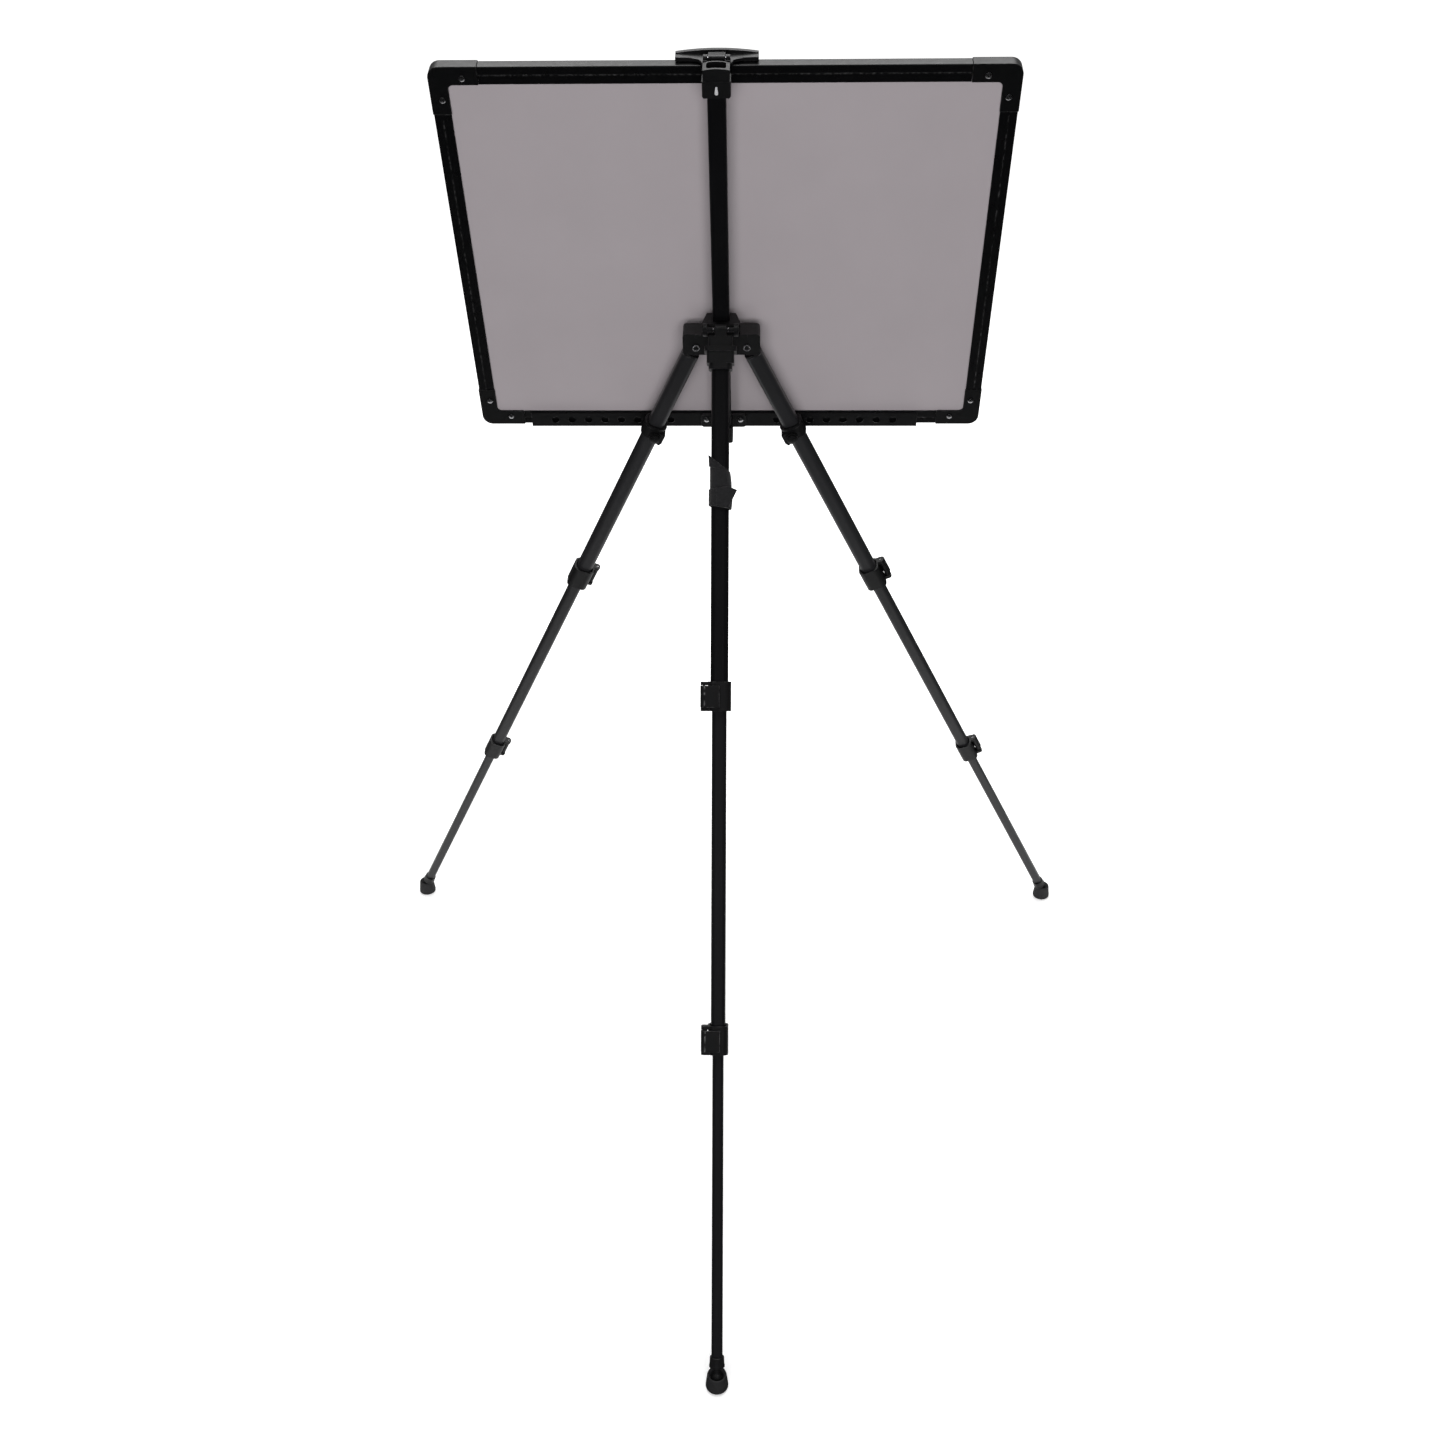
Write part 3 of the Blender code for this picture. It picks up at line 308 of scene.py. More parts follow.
FRAME_PAINT = Finish(
    "frame_paint", Slot.FRAME, (0.0028, 0.0028, 0.0031), 0.32, specular=0.28, grain_size=0.0008,
    grain_depth=0.000004, mottling=0.25, gloss_change=0.06, wear_and_highlight_colour=(0.12, 0.12, 0.122),
)
CAP_PLASTIC = Finish(
    "cap_plastic", Slot.PLASTIC, (0.0038, 0.0038, 0.0041), 0.38, specular=0.3, grain_size=0.0005,
    grain_depth=0.00001, wear_and_highlight_colour=(0.06, 0.06, 0.062),
)
SHEET_PAINT = Finish(
    "sheet_paint", Slot.SHEET, (0.004, 0.004, 0.0044), 0.4, specular=0.3, grain_size=0.0007,
    grain_depth=0.000009, wear_and_highlight_colour=(0.2, 0.2, 0.205), edge_wear_and_highlight=0.7,
)
BACK_COATING = Finish(
    "back_coating", Slot.GREY, (0.44, 0.40, 0.42), 0.34, coat=0.15, coat_roughness=0.25,
    grain_size=0.0016, grain_depth=0.000006, mottling=0.05, mottling_size=0.09, gloss_change=0.05,
    wear_and_highlight_colour=(0.5, 0.5, 0.5), edge_wear_and_highlight=0.3,
)
WRITING_FACE = Finish(
    "writing_face", Slot.FACE, (0.86, 0.87, 0.87), 0.14, coat=0.5, coat_roughness=0.05, grain_size=0.004,
    grain_depth=0.000004, mottling=0.015, mottling_size=0.12, gloss_change=0.03,
    wear_and_highlight_colour=(0.7, 0.7, 0.7),
)
BRIGHT_STEEL = Finish(
    "bright_steel", Slot.STEEL, (0.66, 0.66, 0.68), 0.24, metallic=1.0, grain_size=0.0003,
    grain_depth=0.000003, stretch=(1.0, 6.0, 1.0), mottling=0.08, mottling_size=0.002, gloss_change=0.08,
    wear_and_highlight_colour=(0.8, 0.8, 0.8),
)
PALE_LOCK = Finish(
    "pale_lock", Slot.STEEL, (0.72, 0.72, 0.74), 0.3, metallic=0.15, grain_size=0.0003,
    grain_depth=0.000003, mottling=0.08, mottling_size=0.002, gloss_change=0.08,
    wear_and_highlight_colour=(0.8, 0.8, 0.8),
)
DARK_STEEL = Finish(
    "dark_steel", Slot.STEEL, (0.016, 0.016, 0.017), 0.42, metallic=0.6, grain_size=0.0003,
    grain_depth=0.000003, mottling=0.08, mottling_size=0.002, gloss_change=0.08,
    wear_and_highlight_colour=(0.1, 0.1, 0.1),
)
FOOT_RUBBER = Finish(
    "foot_rubber", Slot.RUBBER, (0.021, 0.021, 0.022), 0.72, grain_size=0.0007, grain_depth=0.00003,
    mottling=0.35, mottling_size=0.008, gloss_change=0.08, wear_and_highlight_colour=(0.11, 0.11, 0.11), edge_wear_and_highlight=0.8,
    specular=0.35,
)
HOOK_AND_LOOP = WovenFinish(
    "hook_and_loop", Slot.WEBBING, (0.012, 0.012, 0.013), 0.92, sheen=0.25, grain_size=0.0007,
    grain_depth=0.00018, mottling=0.4, mottling_size=0.003, specular=0.2, wear_and_highlight_colour=(0.05, 0.05, 0.05),
)


@functools.cache
def material_of(finish: Finish) -> bpy.types.Material:
    """Return a finish's material, made once."""
    return finish.build()


def rounded_rectangle(width: float, depth: float, radius: float, steps: int = 6,
                      centre: Pair = (0.0, 0.0)) -> Outline:
    """Return the outline of a rectangle with round corners, anticlockwise.

    Args:
        width: The size along the first axis.
        depth: The size along the second axis.
        radius: The corners' radius.
        steps: Edges per corner.
        centre: The middle of the rectangle.

    Returns:
        The outline's points.
    """
    points = []
    for side_x, side_y, start in ((1, 1, 0), (-1, 1, 90), (-1, -1, 180), (1, -1, 270)):
        middle = (centre[0] + side_x * (width / 2 - radius), centre[1] + side_y * (depth / 2 - radius))
        points += arc(middle, radius, start, start + 90, steps)
    return points


def arc(centre: Pair, radius: float, start: float, end: float, steps: int) -> Outline:
    """Return points on an arc between two angles in degrees."""
    turns = [math.radians(start + (end - start) * step / steps) for step in range(steps + 1)]
    return [(centre[0] + radius * math.cos(turn), centre[1] + radius * math.sin(turn)) for turn in turns]


def flip(points: Iterable[Pair], first: float, second: float) -> Outline:
    """Return an outline with its two coordinates multiplied."""
    return [(first * x, second * y) for x, y in points]


AXIS_TURNS = {
    "X": Matrix(((0, 0, 1, 0), (1, 0, 0, 0), (0, 1, 0, 0), (0, 0, 0, 1))),
    "Y": Matrix(((1, 0, 0, 0), (0, 0, 1, 0), (0, 1, 0, 0), (0, 0, 0, 1))),
    "Z": Matrix.Identity(4),
}


class Solid:
    """A closed body under construction, drawn in its sub-assembly's frame."""

    def __init__(self, mesh: bmesh.types.BMesh) -> None:
        """Take over a mesh."""
        self.mesh = mesh

    @classmethod
    def loft(cls, rings: Sequence[Sequence[Vector]], comes_round: bool = False) -> "Solid":
        """Skin a row of rings.

        Args:
            rings: Rings with the same number of points.
            comes_round: Joins the last ring to the first, and otherwise both get a flat cap.

        Returns:
            The closed body.
        """
        mesh = bmesh.new()
        rows = [[mesh.verts.new(point) for point in ring] for ring in rings]
        pairs = list(zip(rows, rows[1:]))
        if comes_round:
            pairs.append((rows[-1], rows[0]))
        else:
            mesh.faces.new(rows[0])
            mesh.faces.new(rows[-1])
        for first, second in pairs:
            for index, vertex in enumerate(first):
                after = (index + 1) % len(first)
                mesh.faces.new((vertex, first[after], second[after], second[index]))
        bmesh.ops.recalc_face_normals(mesh, faces=mesh.faces)
        return cls(mesh)

    @classmethod
    def prism(cls, outline: Outline, low: float, high: float, axis: str = "Z") -> "Solid":
        """Extrude an outline along an axis.

        Args:
            outline: The section: (x, y), (y, z) for an X prism, or (x, z) for a Y prism.
            low: Where the prism starts.
            high: Where it ends.
            axis: The axis it runs along.

        Returns:
            The prism.
        """
        turn = AXIS_TURNS[axis]
        return cls.loft([[turn @ Vector((x, y, level)) for x, y in outline] for level in (low, high)])

    @classmethod
    def box(cls, low: Sequence[float], high: Sequence[float]) -> "Solid":
        """Make a box between two corners."""
        outline = [(low[0], low[1]), (high[0], low[1]), (high[0], high[1]), (low[0], high[1])]
        return cls.prism(outline, low[2], high[2])

    @classmethod
    def turned(cls, profile: Outline, axis: str = "Z", centre: Pair = (0.0, 0.0), segments: int = 48,
               comes_round: bool = False) -> "Solid":
        """Spin a profile round an axis.

        Args:
            profile: Points (radius, height). It starts and ends on the axis unless it comes round.
            axis: The axis it spins round.
            centre: The axis's other two coordinates.
            segments: Faces round the axis.
            comes_round: The profile is a closed loop off the axis.

        Returns:
            The turned body.
        """
        mesh = bmesh.new()
        turn = AXIS_TURNS[axis]
        rows = []
        for radius, height in profile:
            count = segments if radius > 1e-7 else 1
            ring = arc(centre, radius, 0, 360 - 360 / segments, segments - 1)[:count]
            rows.append([mesh.verts.new(turn @ Vector((x, y, height))) for x, y in ring])
        pairs = list(zip(rows, rows[1:]))
        if comes_round:
            pairs.append((rows[-1], rows[0]))
        for first, second in pairs:
            for index in range(segments):
                after = (index + 1) % segments
                corners = [first[index % len(first)], first[after % len(first)]]
                corners += [second[after % len(second)], second[index % len(second)]]
                unique = list(dict.fromkeys(corners))
                if len(unique) > 2:
                    mesh.faces.new(unique)
        bmesh.ops.recalc_face_normals(mesh, faces=mesh.faces)
        return cls(mesh)

    @classmethod
    def cylinder(cls, radius: float, low: float, high: float, axis: str = "Z", centre: Pair = (0.0, 0.0),
                 edge: float = 0.0, segments: int = 48) -> "Solid":
        """Make a cylinder with rounded ends.

        Args:
            radius: Its radius.
            low: Where it starts along the axis.
            high: Where it ends.
            axis: Its axis.
            centre: The axis's other two coordinates.
            edge: The radius of its end edges.
            segments: Faces round it.

        Returns:
            The cylinder.
        """
        profile = [(0.0, low)]
        if edge:
            profile += [(radius - edge + edge * math.sin(turn), low + edge - edge * math.cos(turn))
                        for turn in (0.0, 0.52, 1.05, math.pi / 2)]
            profile += [(radius - edge + edge * math.cos(turn), high - edge + edge * math.sin(turn))
                        for turn in (0.0, 0.52, 1.05, math.pi / 2)]
        else:
            profile += [(radius, low), (radius, high)]
        profile.append((0.0, high))
        return cls.turned(profile, axis, centre, segments)

    @classmethod
    def of(cls, mesh: bpy.types.Mesh) -> "Solid":
        """Read a mesh and remove it."""
        body = bmesh.new()
        body.from_mesh(mesh)
        bpy.data.meshes.remove(mesh)
        return cls(body)

    def object(self, name: str) -> bpy.types.Object:
        """Return a scratch object of this body."""
        mesh = bpy.data.meshes.new(name)
        self.mesh.to_mesh(mesh)
        made = bpy.data.objects.new(name, mesh)
        bpy.context.scene.collection.objects.link(made)
        return made

    def combined(self, operation: str, tools: Iterable["Solid"]) -> "Solid":
        """Join tools on, or cut them away.

        Args:
            operation: UNION or DIFFERENCE.
            tools: The bodies to join or cut.

        Returns:
            This body.
        """
        objects = [self.object("work")]
        for tool in tools:
            objects.append(tool.object("tool"))
            step = objects[0].modifiers.new("step", "BOOLEAN")
            step.operation = operation
            step.solver = "EXACT"
            step.object = objects[-1]
        self.mesh = Solid.of(evaluated_mesh(objects[0])).mesh
        bmesh.ops.remove_doubles(self.mesh, verts=self.mesh.verts, dist=0.000002)
        bmesh.ops.dissolve_limit(
            self.mesh, angle_limit=math.radians(0.2), verts=self.mesh.verts, edges=self.mesh.edges
        )
        for made in objects:
            mesh = made.data
            bpy.data.objects.remove(made)
            bpy.data.meshes.remove(mesh)
        return self

    def join(self, *tools: "Solid") -> "Solid":
        """Join bodies on."""
        return self.combined("UNION", tools)

    def cut(self, *tools: "Solid") -> "Solid":
        """Cut bodies away."""
        return self.combined("DIFFERENCE", tools)

    def add(self, *others: "Solid") -> "Solid":
        """Take in bodies that don't touch this one."""
        for other in others:
            mesh = bpy.data.meshes.new("other")
            other.mesh.to_mesh(mesh)
            self.mesh.from_mesh(mesh)
            bpy.data.meshes.remove(mesh)
        return self

    def soften(self, width: float, segments: int = 2, angle: float = 28.0) -> "Solid":
        """Round the edges, and mark the rounding for the lighter edge colour: partly rubbed wear, partly a
        painted edge highlight.

        Args:
            width: The rounding's size.
            segments: Faces across it.
            angle: The smallest turn between two faces, in degrees, that counts as an edge.

        Returns:
            This body.
        """
        layer = self.mesh.faces.layers.float.get("edge_wear_and_highlight") or self.mesh.faces.layers.float.new("edge_wear_and_highlight")
        sharp = [edge for edge in self.mesh.edges
                 if edge.is_manifold and edge.calc_face_angle() > math.radians(angle)]
        made = bmesh.ops.bevel(
            self.mesh, geom=sharp, offset=width, offset_type="OFFSET", segments=segments, profile=0.5,
            affect="EDGES", clamp_overlap=True,
        )
        for face in made["faces"]:
            face[layer] = 1.0
        return self

    def moved(self, matrix: Matrix) -> "Solid":
        """Move the body."""
        self.mesh.transform(matrix)
        if matrix.determinant() < 0:
            bmesh.ops.reverse_faces(self.mesh, faces=self.mesh.faces)
        return self


def evaluated_mesh(made: bpy.types.Object) -> bpy.types.Mesh:
    """Return the mesh that an object's modifiers give."""
    graph = bpy.context.evaluated_depsgraph_get()
    return bpy.data.meshes.new_from_object(made.evaluated_get(graph), depsgraph=graph)


class GeometryTree:
    """A geometry node group under construction, with named inputs."""

    def __init__(self, name: str, inputs: dict[str, str]) -> None:
        """Start the group.

        Args:
            name: The group's name.
            inputs: The type of each named input.
        """
        self.group = bpy.data.node_groups.new(name, "GeometryNodeTree")
        face = self.group.interface
        face.new_socket("Geometry", in_out="INPUT", socket_type="NodeSocketGeometry")
        face.new_socket("Geometry", in_out="OUTPUT", socket_type="NodeSocketGeometry")
        self.identifiers = {
            key: face.new_socket(key, in_out="INPUT", socket_type=kind).identifier
            for key, kind in inputs.items()
        }
        self.given = self.group.nodes.new("NodeGroupInput").outputs
        self.result = self.group.nodes.new("NodeGroupOutput").inputs[0]

    def add(self, kind: str, settings: dict[str, Any] | None = None, **sockets: Any) -> bpy.types.Node:
        """Add a node.

        Args:
            kind: The node's type name.
            settings: Properties of the node itself.
            **sockets: Input values or sockets to link, with _ for a blank in a socket's name.

        Returns:
            The new node.
        """
        node = self.group.nodes.new(kind)
        for name, value in (settings or {}).items():
            setattr(node, name, value)
        for name, value in sockets.items():
            socket = node.inputs[name.replace("_", " ")]
            if isinstance(value, bpy.types.NodeSocket):
                self.group.links.new(value, socket)
            else:
                socket.default_value = value
        return node

    def close(self, geometry: bpy.types.NodeSocket) -> None:
        """End the group: realise the instances and set the material.

        Args:
            geometry: The instances.
        """
        real = self.add("GeometryNodeRealizeInstances", None, Geometry=geometry)
        dressed = self.add(
            "GeometryNodeSetMaterial", None, Geometry=real.outputs[0], Material=self.given["Finish"]
        )
        self.group.links.new(dressed.outputs[0], self.result)

    def run(self, seed_mesh: bpy.types.Mesh, **inputs: Any) -> Solid:
        """Run the group on a mesh.

        Args:
            seed_mesh: What the group starts from.
            **inputs: The named inputs.

        Returns:
            The geometry as one body.
        """
        made = bpy.data.objects.new("seed", seed_mesh)
        bpy.context.scene.collection.objects.link(made)
        step = made.modifiers.new("nodes", "NODES")
        step.node_group = self.group
        for name, value in inputs.items():
            step[self.identifiers[name]] = value
        solid = Solid.of(evaluated_mesh(made))
        bpy.data.objects.remove(made)
        bpy.data.meshes.remove(seed_mesh)
        return solid


@functools.cache
def scatter_tree() -> GeometryTree:
    """Return the group that sets one shape on every point, with a random turn."""
    tree = GeometryTree(
        "scatter", {"Shape": "NodeSocketObject", "Seed": "NodeSocketInt", "Finish": "NodeSocketMaterial"}
    )
    shape = tree.add("GeometryNodeObjectInfo", None, Object=tree.given["Shape"])
    facing = tree.add("GeometryNodeInputNamedAttribute", {"data_type": "FLOAT_VECTOR"}, Name="facing")
    aligned = tree.add("FunctionNodeAlignRotationToVector", {"axis": "Z"}, Vector=facing.outputs[0])
    angle = tree.add("FunctionNodeRandomValue", {"data_type": "FLOAT"})
    angle.inputs[3].default_value = math.tau
    tree.group.links.new(tree.given["Seed"], angle.inputs["Seed"])
    twist = tree.add("FunctionNodeAxisAngleToRotation", None, Axis=(0.0, 0.0, 1.0), Angle=angle.outputs[1])
    turn = tree.add(
        "FunctionNodeRotateRotation", {"rotation_space": "LOCAL"}, Rotation=aligned.outputs[0],
        Rotate_By=twist.outputs[0],
    )
    points = tree.add(
        "GeometryNodeInstanceOnPoints", None, Points=tree.given["Geometry"],
        Instance=shape.outputs["Geometry"],
        Rotation=turn.outputs[0],
    )
    tree.close(points.outputs[0])
    return tree


@functools.cache
def hole_row_tree() -> GeometryTree:
    """Return the group that sets two mirrored rows of round cutters along X."""
    kinds = {"Count": "NodeSocketInt", "First": "NodeSocketFloat", "Pitch": "NodeSocketFloat",
             "Height": "NodeSocketFloat", "Radius": "NodeSocketFloat", "Length": "NodeSocketFloat",
             "Finish": "NodeSocketMaterial"}
    tree = GeometryTree("hole_rows", kinds)
    given = tree.given
    radius, depth = given["Radius"], given["Length"]
    cutter = tree.add("GeometryNodeMeshCylinder", None, Vertices=40, Radius=radius, Depth=depth)
    joined = tree.add("GeometryNodeJoinGeometry")
    for side in (1.0, -1.0):
        first = tree.add("ShaderNodeMath", {"operation": "MULTIPLY"})
        tree.group.links.new(given["First"], first.inputs[0])
        first.inputs[1].default_value = side
        pitch = tree.add("ShaderNodeMath", {"operation": "MULTIPLY"})
        tree.group.links.new(given["Pitch"], pitch.inputs[0])
        pitch.inputs[1].default_value = side
        start = tree.add("ShaderNodeCombineXYZ", None, X=first.outputs[0], Z=given["Height"])
        offset = tree.add("ShaderNodeCombineXYZ", None, X=pitch.outputs[0])
        row = tree.add(
            "GeometryNodeMeshLine", None, Count=given["Count"], Start_Location=start.outputs[0],
            Offset=offset.outputs[0],
        )
        holes = tree.add(
            "GeometryNodeInstanceOnPoints", None, Points=row.outputs[0], Instance=cutter.outputs["Mesh"],
            Rotation=Euler((math.pi / 2, 0.0, 0.0)),
        )
        tree.group.links.new(holes.outputs[0], joined.inputs[0])
    tree.close(joined.outputs[0])
    return tree


def scattered(shape: Solid, points: Sequence[Vector], facing: Vector, finish: Finish, seed: int = 7) -> Solid:
    """Set one shape on every point.

    Args:
        shape: The shape, standing on the XY plane.
        points: Where the copies stand.
        facing: Where their +Z points.
        finish: Their finish.
        seed: The seed of their turns.

    Returns:
        The copies as one body.
    """
    seeds = bpy.data.meshes.new("points")
    seeds.from_pydata([tuple(point) for point in points], [], [])
    attribute = seeds.attributes.new("facing", "FLOAT_VECTOR", "POINT")
    for item in attribute.data:
        item.vector = facing
    template = shape.object("template")
    made = scatter_tree().run(seeds, Shape=template, Seed=seed, Finish=material_of(finish))
    mesh = template.data
    bpy.data.objects.remove(template)
    bpy.data.meshes.remove(mesh)
    return made


@dataclass(frozen=True)
class Axes:
    """A sub-assembly's frame in the row frame."""

    matrix: Matrix

    @classmethod
    def of(cls, origin: Vector, across: Vector, up: Vector) -> "Axes":
        """Make a frame from its origin, its X axis and its Z axis."""
        across, up = across.normalized(), up.normalized()
        back = up.cross(across)
        rows = Matrix((across, back, up)).transposed().to_4x4()
        return cls(Matrix.Translation(origin) @ rows)

    def local(self, point: Sequence[float]) -> Vector:
        """Return a row-frame point in this frame."""
        return self.matrix.inverted() @ Vector(point)

    def extent(self, node: bpy.types.Object) -> tuple[Vector, Vector]:
        """Return a CAD node's lowest and highest corner in this frame."""
        inverse = self.matrix.inverted()
        points = [inverse @ vertex.co for vertex in node.data.vertices]
        low = Vector([min(point[axis] for point in points) for axis in range(3)])
        high = Vector([max(point[axis] for point in points) for axis in range(3)])
        return low, high


class PackedPart:
    """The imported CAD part: its nodes and joints."""

    def __init__(self) -> None:
        """Load the part."""
        self.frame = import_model()
        self.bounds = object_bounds()
        self.joints = {joint["name"]: joint for joint in self.frame["joints"]}

    def place(self, joint: str) -> Vector:
        """Return where a hinge is."""
        return Vector(self.joints[joint]["pos_m"])

    def axis(self, joint: str) -> Vector:
        """Return the way a joint's axis points."""
        return Vector(self.joints[joint]["axis"])

    def node(self, name: str) -> bpy.types.Object:
        """Return a CAD node."""
        return self.frame["nodes"][name]

    def mast_axes(self) -> Axes:
        """Return the mast's frame: the origin between the two side pivots and +Z up the mast."""
        right, left = self.place("right_leg_fold"), self.place("left_leg_fold")
        across = (right - left).normalized()
        return Axes.of((right + left) / 2, across, across.cross(self.axis("right_leg_fold")))

    def leg_axes(self, prefix: str) -> Axes:
        """Return a leg's frame: the origin on its pivot and +Z up the leg."""
        up = self.axis(f"{prefix}_middle_slide")
        across = Vector((1.0, 0.0, 0.0))
        if prefix != "rear":
            across = self.axis("right_leg_fold").cross(up)
        return Axes.of(self.place(f"{prefix}_leg_fold"), across, up)


@dataclass
class Assembly:
    """A sub-assembly that draws and dresses its pieces in its own frame."""

    part: PackedPart
    axes: Axes
    body: str

    def show(self, solid: Solid, name: str, finish: Finish, *nodes: str, body: str = "",
             angle: float = 38.0) -> bpy.types.Object:
        """Put a finished piece in the scene.

        Args:
            solid: The piece in this sub-assembly's frame.
            name: The piece's name.
            finish: Its finish.
            *nodes: The CAD nodes it stands for.
            body: The CAD body it rides on, if not the sub-assembly's own.
            angle: The turn between faces, in degrees, that stays a crisp edge.

        Returns:
            The piece's object.
        """
        place = solid.mesh.verts.layers.float_vector.new("place")
        for vertex in solid.mesh.verts:
            vertex[place] = vertex.co
        made = solid.object(name)
        rough = made.data
        rough.materials.clear()
        rough.materials.append(material_of(finish))
        rough.shade_smooth()
        rough.set_sharp_from_angle(angle=math.radians(angle))
        even = made.modifiers.new("even", "WEIGHTED_NORMAL")
        even.keep_sharp = True
        mesh = evaluated_mesh(made)
        made.modifiers.clear()
        made.data = mesh
        bpy.data.meshes.remove(rough)
        mesh.name = name
        mesh.transform(self.axes.matrix)
        mesh.update()
        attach(made, body or self.body)
        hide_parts(*nodes)
        LOG.info("%s: %d faces", name, len(mesh.polygons))
        return made


@dataclass(frozen=True)
class Section:
    """The section of a tube: a rectangle with round corners."""

    width: float
    depth: float
    radius: float
    wall: float = 0.0011

    def outline(self, grow: float = 0.0, steps: int = 8) -> Outline:
        """Return the outer outline, moved outward."""
        return rounded_rectangle(
            self.width + 2 * grow, self.depth + 2 * grow, max(0.0002, self.radius + grow), steps
        )

    def tube(self, low: float, high: float, lip: float = 0.00035) -> Solid:
        """Make an open tube with rounded lips.

        Args:
            low: Its lower end.
            high: Its upper end.
            lip: The radius of its end edges.

        Returns:
            The tube.
        """
        steps = ((-lip, low), (-lip * 0.3, low + lip * 0.3), (0.0, low + lip), (0.0, high - lip),
                 (-lip * 0.3, high - lip * 0.3), (-lip, high), (-self.wall, high), (-self.wall, low))
        rings = [[Vector((x, y, level)) for x, y in self.outline(grow)] for grow, level in steps]
        solid = Solid.loft(rings, comes_round=True)
        # The lips are marked for the lighter edge colour: partly rubbed wear, partly a painted edge
        # highlight.
        layer = solid.mesh.faces.layers.float.new("edge_wear_and_highlight")
        for face in solid.mesh.faces:
            level = face.calc_center_median().z
            face[layer] = 1.0 if level < low + lip or level > high - lip else 0.0
        return solid

    def bore(self, clearance: float, low: float, high: float) -> Solid:
        """Return a cutter that this section passes through."""
        return Solid.prism(self.outline(clearance), low, high)


TUBE_SECTIONS = (
    Section(0.0200, 0.0180, 0.0062), Section(0.0166, 0.0146, 0.0050), Section(0.0128, 0.0112, 0.0040)
)
MAST_SECTION = Section(0.0192, 0.0120, 0.0025, 0.0012)


@dataclass(frozen=True)
class ScrewHead:
    """A pan head with a cross recess."""

    radius: float
    height: float
    recess: float = 0.0006

    def solid(self) -> Solid:
        """Draw the head, standing on the XY plane."""
        edge = self.height * 0.45
        profile = [(0.0, -0.0003), (self.radius, -0.0003), (self.radius, self.height - edge)]
        profile += [
            (self.radius * math.cos(turn * 0.97), self.height - edge + edge * math.sin(turn))
            for turn in (0.35, 0.7, 1.05, 1.35)
        ]
        profile.append((0.0, self.height))
        head = Solid.turned(profile, segments=32)
        arm, half = self.radius * 0.56, self.radius * 0.12
        depth = self.height - self.recess
        cross = Solid.box((-arm, -half, depth), (arm, half, self.height + 0.001))
        other = Solid.box((-half, -arm, depth), (half, arm, self.height + 0.001))
        return head.cut(cross, other)


